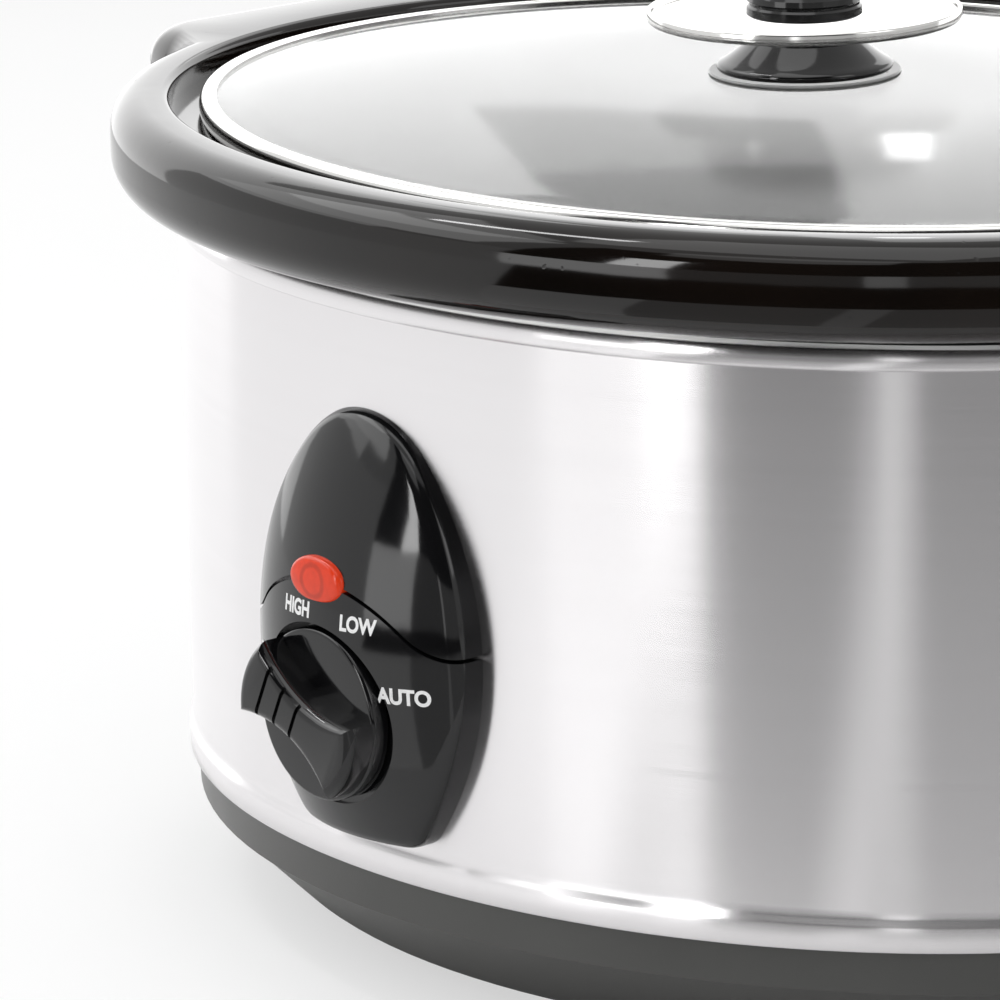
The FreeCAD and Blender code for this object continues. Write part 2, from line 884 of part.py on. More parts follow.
def build_lid_knob():
    """Knob stack on the lid: gasket, foot, steel guard disc, cap, and the screw that holds them."""
    hole = S.screw_radius + S.screw_play
    body = new_body("lid_gasket")
    points = rectangle(hole, S.gasket_radius, glass_top, gasket_top)
    spin(body, outline(body, "XZ_Plane", 0.0, points), "V")
    node("lid_gasket", body)

    body = new_body("knob_foot")
    foot_top = gasket_top + S.knob_foot_thick
    blend = S.knob_foot_thick
    points = [
        (hole, gasket_top),
        (S.knob_foot_radius, gasket_top),
        (S.knob_foot_radius, gasket_top + blend / 2),
        (S.knob_foot_radius - blend / 2, foot_top),
        (S.knob_stem_radius + blend, foot_top),
        (S.knob_stem_radius, foot_top + blend),
        (S.knob_stem_radius, stem_top),
        (hole, stem_top),
    ]
    spin(body, outline(body, "XZ_Plane", 0.0, points), "V")
    node("knob_foot", body)

    body = new_body("knob_guard_disc")
    edge = S.guard_radius
    inner = edge - S.guard_edge
    points = [
        (hole, stem_top),
        (inner, stem_top),
        (edge, stem_top + S.guard_dish),
        (edge, guard_top + S.guard_dish),
        (inner, guard_top),
        (hole, guard_top),
    ]
    spin(body, outline(body, "XZ_Plane", 0.0, points), "V")
    node("knob_guard_disc", body)

    body = new_body("lid_knob")
    bore_top = cap_top - S.cap_edge
    shoulder = cap_top - S.cap_edge
    points = [
        (hole, guard_top),
        (S.neck_radius, guard_top),
        (S.neck_radius, guard_top + S.neck_height * 0.4),
        (S.neck_waist, guard_top + S.neck_height * 0.55),
        (S.neck_waist, neck_top),
        (S.cap_radius, shoulder - S.cap_edge / 3),
        (S.cap_radius, shoulder),
        (S.cap_radius - S.cap_edge / 2, cap_top - S.cap_edge * 0.3),
        (0.0, cap_top),
        (0.0, bore_top),
        (hole, bore_top),
    ]
    spin(body, outline(body, "XZ_Plane", 0.0, points), "V")
    node("lid_knob", body)

    head_bottom = washer_under - S.screw_head_height
    washer = cut(
        rod_z(S.lid_washer_radius, washer_under, glass_under),
        rod_z(hole, washer_under, glass_under),
    )
    node("lid_washer", washer)
    screw = fuse(
        rod_z(S.screw_head_radius, head_bottom, washer_under),
        rod_z(S.screw_radius, washer_under, bore_top - S.screw_play),
    )
    node("lid_screw", screw)


def egg(inset, level):
    """Outline of the control panel: an egg of tangent arcs on a level foot with round corners."""
    half = S.panel_half_width - inset
    side = S.panel_side_radius - inset
    corner = S.panel_corner - inset
    widest = level + S.panel_widest_z
    top = level + S.panel_top_z - inset
    foot = level + S.panel_bottom_z + inset
    centre = side - half
    height = top - widest
    spare = side - height
    lift = (centre * centre - spare * spare) / (spare * 2)
    crown = height - lift
    crown_x = side * centre / (side - crown) - centre
    crown_z = widest + side * lift / (side - crown)
    depth = widest - foot - corner
    reach = side - corner
    corner_x = (reach * reach - depth * depth).root() - centre
    side_x = side * (corner_x + centre) / reach - centre
    side_z = widest - side * depth / reach
    return [
        (-corner_x, foot),
        (corner_x, foot, corner),
        (side_x, side_z, side),
        (crown_x, crown_z, crown),
        (-crown_x, crown_z, side),
        (-side_x, side_z, corner),
    ]


def wave(level, shift):
    """Everything below the wavy joint between the two panel mouldings, moved up by shift."""
    crest = level + S.joint_crest_z + shift
    foot = crest - S.joint_drop
    reach = S.joint_reach
    drop = S.joint_drop
    crown = S.joint_crest_radius
    hollow = (reach * reach + drop * drop) / (drop * 2) - crown
    share = crown / (crown + hollow)
    turn_x = reach * share
    turn_z = crest - crown + (crown + hollow - drop) * share
    outer = reach * 2
    return [
        (-outer, level),
        (outer, level),
        (outer, foot),
        (reach, foot, -hollow),
        (turn_x, turn_z, crown),
        (-turn_x, turn_z, -hollow),
        (-reach, foot),
        (-outer, foot),
    ]


def front_slab(points, near, far):
    """A slab standing on the front, from near to far in front of the long axis."""
    sketch = doc.addObject("Sketcher::SketchObject", "Sketch")
    sketch.Placement = FreeCAD.Placement(Vector(), FreeCAD.Rotation(X_AXIS, 90))
    bind(sketch, "Placement.Base.y", -near)
    draw(sketch, points)
    slab = doc.addObject("Part::Extrusion", "Slab")
    slab.Base = sketch
    slab.DirMode = "Custom"
    slab.Dir = Vector(0, -1, 0)
    slab.Solid = True
    bind(slab, "LengthFwd", far - near)
    return slab


def shell_core():
    """The solid oval that the shell's outer wall goes round."""
    body = new_body("shell_core")
    pad(body, oval(body, *outside_shell(), shell_bottom), S.shell_height)
    return body


def lens_plug(extra, near, far):
    """An oval plug of the lamp lens's outline, grown by extra."""
    body = new_body("lens_plug")
    long = S.lens_half_width + extra
    pad(body, oval(body, long, lens_spread, near, "XZ_Plane", lens_z), far - near)
    return body


def build_panel():
    """Control panel: a bulging egg in two hollow mouldings that meet at a wavy joint."""
    near = S.shell_short - S.panel_bulge * 2
    far = panel_front + S.panel_bulge
    wall = S.panel_wall

    def bulge(inset):
        swell = solid(
            "Part::Torus",
            Radius1=S.panel_round_up - S.panel_round_across,
            Radius2=S.panel_round_across - inset,
        )
        middle = shell_bottom + S.panel_middle_z
        return place(swell, 0.0, S.panel_round_up - panel_front, middle, Y_AXIS, 90)

    block_out = common(front_slab(egg(0.0, shell_bottom), near, far), bulge(0.0))
    hollow = common(front_slab(egg(wall, shell_bottom), near, far), bulge(wall))
    bosses = [rod_y(S.panel_boss_radius, -far, -near, x, z) for x, z in panel_screws_at]
    spot = S.selector_radius + S.spot_face_margin
    bosses.append(rod_y(spot + wall, -far, -switch_front, 0.0, selector_z))
    moulding = cut(block_out, cut(hollow, fuse(*bosses)))
    screw_holes = [
        rod_y(S.panel_screw_radius, -S.shell_short - S.panel_screw_length, -near, x, z)
        for x, z in panel_screws_at
    ]
    screw_x = S.switch_screw_from_axis
    tools = [
        shell_core(),
        lens_plug(S.lens_fit, near, far),
        rod_y(spot, -far, -spot_face, 0.0, selector_z),
        rod_y(S.shaft_radius + S.hole_play, -far, -near, 0.0, selector_z),
        *screw_holes,
    ]
    for x in (-screw_x, screw_x):
        tools.append(rod_y(S.switch_screw_radius + S.hole_play, -far, -near, x, selector_z))
        tools.append(countersink(x, S.hole_play))
    moulding = cut(moulding, fuse(*tools))
    half_gap = S.joint_gap / 2
    upper = cut(moulding, front_slab(wave(shell_bottom, half_gap), near, far))
    lower = common(moulding, front_slab(wave(shell_bottom, -half_gap), near, far))
    node("control_panel_upper", upper)
    node("control_panel_lower", lower)


def countersink(x, extra):
    """The cone of a countersunk switch screw head, flush with the spot face."""
    depth = S.switch_screw_head - S.switch_screw_radius
    cone = solid(
        "Part::Cone",
        Radius1=S.switch_screw_head + extra,
        Radius2=S.switch_screw_radius + extra,
        Height=depth,
    )
    return place(cone, x, -spot_face, selector_z, X_AXIS, -90)


def build_panel_screws():
    """Screws that hold the mouldings from inside the shell."""
    screws = []
    for x, z in panel_screws_at:
        reach = x if x.number > 0 else -x
        inside = front_at(reach + S.panel_screw_head) - S.shell_wall - S.hole_play / 2
        end = S.shell_short + S.panel_screw_length - S.hole_play
        shank = S.panel_screw_radius - S.hole_play / 4
        screws.append(
            fuse(
                rod_y(shank, -end, -inside, x, z),
                rod_y(S.panel_screw_head, -inside, -inside + S.small_head, x, z),
            )
        )
    node("panel_screws", group(*screws))


def build_lamp():
    """Red lamp lens with a socket behind it, and the neon lamp in the socket."""
    body = new_body("indicator_lens")
    rise = S.lens_z - S.panel_middle_z
    up = S.panel_round_up
    front = panel_front - up + (up * up - rise * rise).root() + S.lens_proud
    back = front - S.lens_depth
    lens = oval(body, S.lens_half_width, lens_spread, back, "XZ_Plane", lens_z)
    pad(body, lens, S.lens_depth)
    soften(body, S.lens_round, front_edge(-front), bevel=True)
    socket = circles(body, "XZ_Plane", back, S.lens_socket_radius, [(0.0, lens_z)])
    pad(body, socket, S.lens_socket_length, backwards=True)
    hole = circles(body, "XZ_Plane", back - S.lens_socket_length, S.lamp_radius + S.hole_play,
                   [(0.0, lens_z)])
    pocket(body, hole, S.lens_socket_length, backwards=True)
    node("indicator_lens", body)

    body = new_body("indicator_lamp")
    tip = back - S.hole_play
    bulb = circles(body, "XZ_Plane", tip, S.lamp_radius, [(0.0, lens_z)])
    pad(body, bulb, S.lamp_length, backwards=True)
    node("indicator_lamp", body)


def build_selector():
    """Selector knob: a round skirt and a waisted grip bar with cross grooves, on a flatted shaft."""
    body = new_body("selector_knob")
    radius = S.selector_radius
    skirt_front = selector_back + S.selector_skirt
    front = selector_back + S.selector_height
    pad(body, circles(body, "XZ_Plane", selector_back, radius, [(0.0, 0.0)]), S.selector_skirt)
    end = S.bar_end
    rim = radius - S.hole_play
    end_x = (rim * rim - end * end).root()
    rise = end - S.bar_waist
    scoop = (end_x * end_x + rise * rise) / (rise * 2)
    bar = [
        (end_x, -end, rim),
        (end_x, end, -scoop),
        (-end_x, end, rim),
        (-end_x, -end, -scoop),
    ]
    bar_height = S.selector_height - S.selector_skirt
    pad(body, outline(body, "XZ_Plane", skirt_front, bar), bar_height)
    soften(body, S.bar_round, front_edge(-front), bevel=True)
    grooves = sketch_on(body, "XZ_Plane", front)
    count = int(S.grip_count.number)
    for n in range(count):
        middle = S.grip_pitch * (n - (count - 1) / 2)
        half = S.grip_groove / 2
        draw(grooves, rectangle(middle - half, middle + half, -end, end))
    pocket(body, grooves, S.grip_groove_depth)
    play = S.shaft_play / 2
    bore = S.shaft_radius + play
    flat = S.shaft_radius - S.shaft_flat + play
    pocket(
        body,
        outline(body, "XZ_Plane", selector_back, flatted(bore, flat)),
        S.shaft_in_knob + S.hole_play,
        backwards=True,
    )
    body.Placement = FreeCAD.Placement(
        Vector(0, 0, selector_z.number),
        FreeCAD.Rotation(Y_AXIS, -S.selector_off_angle.number),
    )
    bind(body, "Placement.Base.z", selector_z)
    node("selector_knob", body)

    body = new_body("switch_shaft")
    inner = switch_front - S.switch_shaft_depth + S.hole_play
    shaft = circles(body, "XZ_Plane", inner, S.shaft_radius, [(0.0, 0.0)])
    pad(body, shaft, selector_back - inner)
    flat = S.shaft_radius - S.shaft_flat
    pad(
        body,
        outline(body, "XZ_Plane", selector_back, flatted(S.shaft_radius, flat)),
        S.shaft_in_knob,
    )
    body.Placement = FreeCAD.Placement(
        Vector(0, 0, selector_z.number),
        FreeCAD.Rotation(Y_AXIS, -S.selector_off_angle.number),
    )
    bind(body, "Placement.Base.z", selector_z)
    node("switch_shaft", body)


def flatted(radius, flat):
    """A circle with a flat across its top, as a closed outline."""
    half = (radius * radius - flat * flat).root()
    return [
        (0.0, -radius, radius),
        (half, flat),
        (-half, flat, radius),
    ]


def build_switch():
    """Rotary switch behind the lower panel, and its two countersunk screws."""
    half = S.switch_half_width
    box = block(-half, half, -switch_front, -switch_back, selector_z - half, selector_z + half)
    bore = S.shaft_radius + S.shaft_play
    tools = [rod_y(bore, -switch_front, -switch_front + S.switch_shaft_depth, 0.0, selector_z)]
    screws = []
    for x in (-S.switch_screw_from_axis, S.switch_screw_from_axis):
        end = -spot_face + S.switch_screw_length
        tools.append(rod_y(S.switch_screw_radius + S.hole_play, -switch_front, end, x, selector_z))
        shank = rod_y(S.switch_screw_radius, -spot_face, end - S.hole_play, x, selector_z)
        screws.append(fuse(countersink(x, 0.0), shank))
    node("rotary_switch", cut(box, fuse(*tools)))
    node("switch_screws", group(*screws))


def tapered_sleeve(label, bottom, top, gap, thick):
    """A sleeve that follows the well's taper, a gap away from it."""
    body = new_body(label)
    for extra, hollow in ((thick + gap, False), (gap, True)):
        rings = [
            oval(body, *well_radii(bottom, extra), bottom),
            oval(body, *well_radii(top, extra), top),
        ]
        loft(body, rings, cut=hollow)
    node(label, body)


def build_heater():
    """Band heater round the well, a mineral wool wrap round it, and the shield under the well."""
    bottom = well_bottom + S.heater_bottom
    top = bottom + S.heater_height
    tapered_sleeve("heater_band", bottom, top, S.heater_gap, S.heater_thick)
    gap = S.heater_gap * 2 + S.heater_thick
    tapered_sleeve("insulation_wrap", bottom, top, gap, S.wrap_thick)

    body = new_body("heat_shield")
    edge = S.shell_wall + S.shield_margin
    pad(body, oval(body, *outside_shell(-edge), lip_top), S.shield_thick)
    hole = S.stud_radius + S.hole_play
    pocket(body, circles(body, "XY_Plane", lip_top, hole, [(0.0, 0.0)]), backwards=True)
    node("heat_shield", body)


def build_tie():
    """Stud under the well, and the washer and nut that pull the base up to it."""
    node("tie_stud", rod_z(S.stud_radius, base_bottom - S.stud_end, well_bottom))
    hole = S.stud_radius + S.hole_play
    washer_bottom = dimple_top - S.washer_thick
    node(
        "tie_washer",
        cut(rod_z(S.washer_radius, washer_bottom, dimple_top), rod_z(hole, washer_bottom, dimple_top)),
    )
    nut_bottom = washer_bottom - S.nut_height
    prism = solid("Part::Prism", Circumradius=S.nut_flats / math.sqrt(3.0), Height=S.nut_height)
    prism.Polygon = 6
    place(prism, z=nut_bottom)
    node("tie_nut", cut(prism, rod_z(S.stud_radius + S.hole_play / 4, nut_bottom, washer_bottom)))


def build_wiring():
    """Terminal block on the heat shield, its two leads up to the switch, and the thermal fuse."""
    shield_top = lip_top + S.shield_thick
    block_top = shield_top + S.block_height
    half = S.block_length / 2
    lead_y = -switch_back - S.lead_radius - S.hole_play
    front = lead_y - S.block_depth / 2
    node("terminal_block", block(-half, half, front, front + S.block_depth, shield_top, block_top))
    switch_bottom = selector_z - S.switch_half_width
    leads = [
        rod_z(S.lead_radius, block_top, switch_bottom, x, lead_y)
        for x in (-S.lead_spread, S.lead_spread)
    ]
    node("internal_leads", group(*leads))

    fuse_z = well_bottom - S.fuse_radius - S.hole_play / 4
    half = S.fuse_length / 2
    node("thermal_fuse", rod_x(S.fuse_radius, -half, half, S.fuse_y, fuse_z))


def build_bushing():
    """Square-bodied bushing in a slot at the back, where the mains lead goes in."""
    body = new_body("cord_bushing")
    inside = S.shell_short - S.bushing_inside
    outside = S.shell_short + S.bushing_flange_thick
    points = [
        (S.bushing_bore, inside),
        (S.bushing_barrel, inside),
        (S.bushing_barrel, S.shell_short),
        (S.bushing_flange, S.shell_short),
        (S.bushing_flange - S.bushing_edge, outside),
        (S.bushing_bore, outside),
    ]
    spin(body, outline(body, "XY_Plane", 0.0, points), "V")
    side = S.bushing_barrel
    square = rectangle(-side, side, lip_top + S.shield_thick + S.hole_play - bushing_z, side)
    pad(body, outline(body, "XZ_Plane", -S.shell_short, square), S.bushing_inside)
    pocket(body, circles(body, "XZ_Plane", 0.0, S.bushing_bore, [(0.0, 0.0)]))
    place(body, z=bushing_z)
    node("cord_bushing", body)


def handle_outline(inset, root, reach):
    """Plan of the left grip: square at the shell and round at its two outer corners."""
    half = S.handle_half_width - inset
    tip = reach - inset
    corner = S.handle_corner - inset
    return [
        (-root, half),
        (-tip + corner, half, corner),
        (-tip, half - corner),
        (-tip, -half + corner, corner),
        (-tip + corner, -half),
        (-root, -half),
    ]


def build_handles():
    """Side grips, hollow underneath for the fingers, each screwed on through the shell."""
    reach = S.shell_long + S.handle_reach
    root = S.shell_long - S.handle_reach
    wall = S.handle_wall
    for end, turn in (("left", 0.0), ("right", 180.0)):
        body = new_body(f"side_handle_{end}")
        grip = outline(body, "XY_Plane", handle_bottom, handle_outline(0.0, root, reach))
        pad(body, grip, S.handle_thick)
        soften(body, S.handle_round, level_edge(handle_top, outside_shell()), bevel=True)
        hollow = outline(body, "XY_Plane", handle_bottom, handle_outline(wall, root, reach))
        pocket(body, hollow, S.handle_thick - S.handle_roof, backwards=True)
        boss = circles(body, "YZ_Plane", -root, S.handle_boss_radius, handle_screws_at)
        pad(body, boss, S.handle_reach * 2 - wall, backwards=True)
        pocket(body, oval(body, *outside_shell(), handle_bottom), backwards=True)
        hole = circles(body, "YZ_Plane", -root, S.handle_screw_radius, handle_screws_at)
        pocket(body, hole, S.handle_reach + S.handle_screw_length)
        place(body, axis=Vector(0, 0, 1), angle=turn)
        node(f"side_handle_{end}", body)

    screws = []
    for side in (-1, 1):
        for y, z in handle_screws_at:
            offset = y if y.number > 0 else -y
            wall_x = end_at(offset + S.handle_screw_head) - S.shell_wall - S.hole_play / 2
            tip = S.shell_long + S.handle_screw_length - S.hole_play
            shank = S.handle_screw_radius - S.hole_play / 4
            head = wall_x - S.small_head
            if side > 0:
                screws.append(fuse(rod_x(shank, wall_x, tip, y, z),
                                   rod_x(S.handle_screw_head, head, wall_x, y, z)))
            else:
                screws.append(fuse(rod_x(shank, -tip, -wall_x, y, z),
                                   rod_x(S.handle_screw_head, -wall_x, -head, y, z)))
    node("handle_screws", group(*screws))


build_shell()
build_well()
build_base()
build_feet()
build_crock()
build_lid_glass()
build_lid_band()
build_lid_knob()
build_panel()
build_panel_screws()
build_lamp()
build_selector()
build_switch()
build_heater()
build_tie()
build_wiring()
build_bushing()
build_handles()
doc.recompute()

for made in doc.Objects:
    if {"Invalid", "Error"} & set(made.State):
        raise RuntimeError(f"{made.Label} ({made.Name}) failed: {made.State}")
for label, made in nodes.items():
    if made.Shape.isNull() or not made.Shape.isValid():
        raise RuntimeError(f"{label} has no valid shape")

os.makedirs("parts", exist_ok=True)
for label, made in nodes.items():
    made.Shape.exportStep(f"parts/{label}.step")
    solids = made.Shape.Solids
    print(f"{label}: {len(solids)} solid(s), {made.Shape.Volume / 1000:.2f} cm3")
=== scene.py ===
"""Looks of an oval slow cooker, built round its packed solids in the same frame, in metres."""

import json
import math

import bmesh
import bpy
from bpy.props import FloatProperty, FloatVectorProperty, IntProperty, PointerProperty
from mathutils import Matrix, Quaternion, Vector

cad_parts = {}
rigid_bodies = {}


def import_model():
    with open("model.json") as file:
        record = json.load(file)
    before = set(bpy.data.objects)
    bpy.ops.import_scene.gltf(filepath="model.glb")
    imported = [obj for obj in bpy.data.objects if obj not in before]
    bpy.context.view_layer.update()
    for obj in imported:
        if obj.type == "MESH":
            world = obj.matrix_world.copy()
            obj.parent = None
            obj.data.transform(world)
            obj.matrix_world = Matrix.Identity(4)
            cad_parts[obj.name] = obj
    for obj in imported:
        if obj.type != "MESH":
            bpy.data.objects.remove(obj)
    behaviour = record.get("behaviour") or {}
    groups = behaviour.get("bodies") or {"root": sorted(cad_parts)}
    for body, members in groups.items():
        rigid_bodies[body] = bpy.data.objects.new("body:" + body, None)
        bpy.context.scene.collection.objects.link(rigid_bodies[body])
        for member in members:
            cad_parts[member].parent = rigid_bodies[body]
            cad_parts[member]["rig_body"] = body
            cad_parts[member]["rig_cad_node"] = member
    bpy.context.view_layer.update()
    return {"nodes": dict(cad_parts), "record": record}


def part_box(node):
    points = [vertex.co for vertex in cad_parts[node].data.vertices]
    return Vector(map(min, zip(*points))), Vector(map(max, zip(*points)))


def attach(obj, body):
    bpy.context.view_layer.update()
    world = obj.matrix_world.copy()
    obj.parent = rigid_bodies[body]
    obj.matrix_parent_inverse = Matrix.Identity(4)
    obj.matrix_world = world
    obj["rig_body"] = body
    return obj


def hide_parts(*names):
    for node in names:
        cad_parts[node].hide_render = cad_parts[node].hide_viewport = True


bl_info = {
    "name": "Slow Cooker",
    "version": (1, 0, 0),
    "blender": (4, 5, 0),
    "location": "View3D > Sidebar > Slow Cooker",
    "description": "Steel body, crock, lid, control panel and studio of an oval slow cooker",
    "category": "Object",
}

MM = 0.001
WELD = 1e-6
LID_HOLE = 2.6 * MM
MIX_FIRST, MIX_SECOND, MIX_OUT = 6, 7, 2
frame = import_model()
SHELL_LOW, SHELL_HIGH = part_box("outer_shell")
CROCK_LOW, CROCK_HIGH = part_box("crock")
BAND_LOW, BAND_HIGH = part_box("lid_rim_band")
GLASS_LOW, GLASS_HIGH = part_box("lid_glass")
GASKET_LOW, GASKET_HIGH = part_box("lid_gasket")
FOOT_LOW, FOOT_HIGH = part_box("knob_foot")
GUARD_LOW, GUARD_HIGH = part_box("knob_guard_disc")
KNOB_LOW, KNOB_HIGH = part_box("lid_knob")
LENS_LOW, LENS_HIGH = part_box("indicator_lens")
SELECTOR_LOW, SELECTOR_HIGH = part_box("selector_knob")
SHAFT_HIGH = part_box("switch_shaft")[1]
BUSHING_LOW, BUSHING_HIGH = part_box("cord_bushing")


def length(name, default, description):
    return FloatProperty(name=name, description=description, default=default, unit="LENGTH", precision=4)


def number(name, default, description):
    return FloatProperty(name=name, description=description, default=default)


def bearing(name, degrees, description):
    return FloatProperty(name=name, description=description, default=math.radians(degrees), subtype="ANGLE")


def colour(name, default, description):
    return FloatVectorProperty(
        name=name, description=description, default=default, size=3, subtype="COLOR", min=0.0, max=1.0
    )


class BodySettings(bpy.types.PropertyGroup):
    """Sizes and colours of the steel body."""

    bead: length("Bead", 1.2 * MM, "How far the rolled bead stands out at the top")
    bead_height: length("Bead height", 4.2 * MM, "Height of the rolled bead")
    flare: length("Flare", 1.0 * MM, "How far the foot of the shell stands out")
    flare_height: length("Flare height", 6.0 * MM, "Height of the flared foot")
    wall: length("Wall", 0.8 * MM, "Thickness of the steel")
    steps: IntProperty(name="Steps", description="Points round each oval", default=256, min=32)
    steel: colour("Steel", (0.78, 0.765, 0.775), "Brushed steel of the shell")
    base: colour("Base", (0.055, 0.055, 0.052), "Plastic of the base")


class CrockSettings(bpy.types.PropertyGroup):
    """Sizes and colours of the crock."""

    lug_reach: length("Lug reach", 12.0 * MM, "How far each lug stands out from the rim")
    lug_half: length("Lug half width", 45.0 * MM, "Half the width of a lug")
    lug_corner: length("Lug corner", 16.0 * MM, "Corner radius of a lug")
    round_top: length("Top round", 7.0 * MM, "Round of the rim's upper edge")
    round_bottom: length("Bottom round", 8.0 * MM, "Round of the rim's lower edge")
    ledge_depth: length("Ledge depth", 5.2 * MM, "How deep the lid sits in the rim")
    glaze: colour("Glaze", (0.003, 0.0022, 0.0018), "Black glaze")


class LidSettings(bpy.types.PropertyGroup):
    """Sizes and colours of the lid and its knob."""

    band_width: length("Band width", 3.6 * MM, "Width of the steel band")
    glass_thick: length("Glass thickness", 2.8 * MM, "Thickness of the glass")
    dome_inward: length("Dome run", 85.0 * MM, "Way in from the band to the flat middle")
    stem: length("Stem radius", 11.3 * MM, "Stem under the guard disc")
    neck: length("Neck radius", 11.6 * MM, "Neck above the guard disc")
    glass: colour("Glass", (0.965, 0.975, 0.97), "Tint of the glass")
    steel: colour("Bright steel", (0.74, 0.735, 0.72), "Steel of the band and the guard disc")


class PanelSettings(bpy.types.PropertyGroup):
    """Sizes and colours of the control panel."""

    half_width: length("Half width", 29.8 * MM, "Half the width of the egg")
    widest: length("Widest", 47.0 * MM, "Height of the widest place above the shell's lower edge")
    top: length("Top", 93.0 * MM, "Top of the egg above the shell's lower edge")
    foot: length("Foot", 8.8 * MM, "Foot of the egg above the shell's lower edge")
    side: length("Side radius", 61.0 * MM, "Radius of the egg's sides")
    corner: length("Corner radius", 6.0 * MM, "Radius of the lower corners")
    round_across: length("Round across", 45.0 * MM, "Radius of the bulge from side to side")
    round_up: length("Round up", 90.0 * MM, "Radius of the bulge from top to bottom")
    middle: length("Middle", 45.0 * MM, "Height of the bulge's middle above the shell's lower edge")
    edge: length("Edge round", 2.2 * MM, "Round of the panel's edge")
    bulge: length("Bulge", 15.0 * MM, "How far the panel stands out from the shell")
    crest: length("Joint crest", 61.5 * MM, "Top of the wavy joint above the shell's lower edge")
    drop: length("Joint drop", 12.7 * MM, "How far the joint falls to the sides")
    reach: length("Joint reach", 31.5 * MM, "Where the joint levels out")
    crest_radius: length("Crest radius", 30.0 * MM, "Radius of the joint's crest")
    gap: length("Joint gap", 0.8 * MM, "Width of the joint")
    label_height: length("Label height", 2.95 * MM, "Height of the dial's letters")
    plastic: colour("Plastic", (0.004, 0.004, 0.0045), "Glossy plastic of panel and knobs")
    lens: colour("Lens", (0.66, 0.040, 0.008), "Lamp lens")
    label: colour("Label", (0.86, 0.86, 0.86), "Letters of the dial")


class StudioSettings(bpy.types.PropertyGroup):
    """Camera and light."""

    lens: number("Lens", 234.0, "Focal length in millimetres")
    azimuth: bearing("Azimuth", 49.584, "Camera angle round from the front")
    elevation: bearing("Elevation", 14.323, "Camera angle above the level")
    roll: bearing("Roll", -1.221, "Turn about the view")
    distance: length("Distance", 1.30103, "From the camera to what it looks at")
    target: FloatVectorProperty(
        name="Target", description="What the camera looks at", size=3,
        default=(-0.025931, -0.060345, 0.0885), subtype="XYZ",
    )
    floor: colour("Floor", (0.92, 0.92, 0.92), "Floor")
    lift: number("Floor lift", 0.6, "How far the floor is lifted to white")
    ambient: number("Ambient", 0.6, "Light from all round")
    mirrored: number("Mirrored", 0.75, "Brightness that glossy faces mirror")


class Value:
    """A socket's value in a node tree, so that sums on it are written as Python."""

    def __init__(self, nodes, socket):
        self.nodes = nodes
        self.socket = socket

    def sum(self, operation, other):
        return self.nodes.add("ShaderNodeMath", {"operation": operation}, {0: self, 1: other})

    def __add__(self, other):
        return self.sum("ADD", other)

    def __mul__(self, other):
        return self.sum("MULTIPLY", other)

    def __truediv__(self, other):
        return self.sum("DIVIDE", other)


class Nodes:
    """A node tree, and the ways to add to it."""

    def __init__(self, tree):
        self.tree = tree

    def feed(self, socket, value):
        if isinstance(value, Value):
            self.tree.links.new(value.socket, socket)
        elif socket.type == "RGBA" and len(value) == 3:
            socket.default_value = (*value, 1.0)
        else:
            socket.default_value = value

    def add(self, kind, settings=None, inputs=None, out=0):
        node = self.tree.nodes.new(kind)
        for name, value in (settings or {}).items():
            setattr(node, name, value)
        for name, value in (inputs or {}).items():
            self.feed(node.inputs[name], value)
        return Value(self, node.outputs[out]) if node.outputs else None


class Finish(Nodes):
    """One procedural material: its nodes, and the surface shader that they feed."""

    def __init__(self, name, **fixed):
        self.material = bpy.data.materials.new(name)
        self.material.use_nodes = True
        super().__init__(self.material.node_tree)
        self.surface = self.tree.nodes["Principled BSDF"]
        for socket, value in fixed.items():
            self.set(socket, value)

    def set(self, name, value):
        socket = self.surface.inputs[name.replace("_", " ").title().replace("Ior", "IOR")]
        self.feed(socket, value)

    def ramp(self, value, stops):
        """A ramp of greys: each stop is a place and a grey."""
        node = self.tree.nodes.new("ShaderNodeValToRGB")
        points = node.color_ramp.elements
        while len(points) < len(stops):
            points.new(0.5)
        for point, (place, grey) in zip(points, stops):
            point.position = place
            point.color = (grey, grey, grey, 1.0)
        self.feed(node.inputs["Fac"], value)
        return Value(self, node.outputs["Color"])

    def place(self, scale=(1, 1, 1), offset=(0, 0, 0), turn=(0, 0, 0)):
        """Object coordinates, moved, turned and scaled."""
        spot = self.add("ShaderNodeTexCoord", out="Object")
        inputs = {"Vector": spot, "Location": offset, "Rotation": turn, "Scale": scale}
        return self.add("ShaderNodeMapping", None, inputs)

    def noise(self, where, scale, detail=3.0, rough=0.5):
        inputs = {"Vector": where, "Scale": scale, "Detail": detail, "Roughness": rough}
        return self.add("ShaderNodeTexNoise", None, inputs, "Fac")

    def mix(self, share, first, second):
        inputs = {"Factor": share, MIX_FIRST: first, MIX_SECOND: second}
        return self.add("ShaderNodeMix", {"data_type": "RGBA"}, inputs, MIX_OUT)

    def tint(self, share, tone, dark, light):
        """Base colour between a darker and a lighter shade of a tone."""
        self.set("Base_Color", self.mix(share, shade(tone, dark), shade(tone, light)))

    def bump(self, height, strength, distance):
        inputs = {"Height": height, "Strength": strength, "Distance": distance}
        self.set("Normal", self.add("ShaderNodeBump", None, inputs))


def shade(tone, factor):
    """A tone made darker or lighter."""
    return tuple(min(channel * factor, 1.0) for channel in tone)


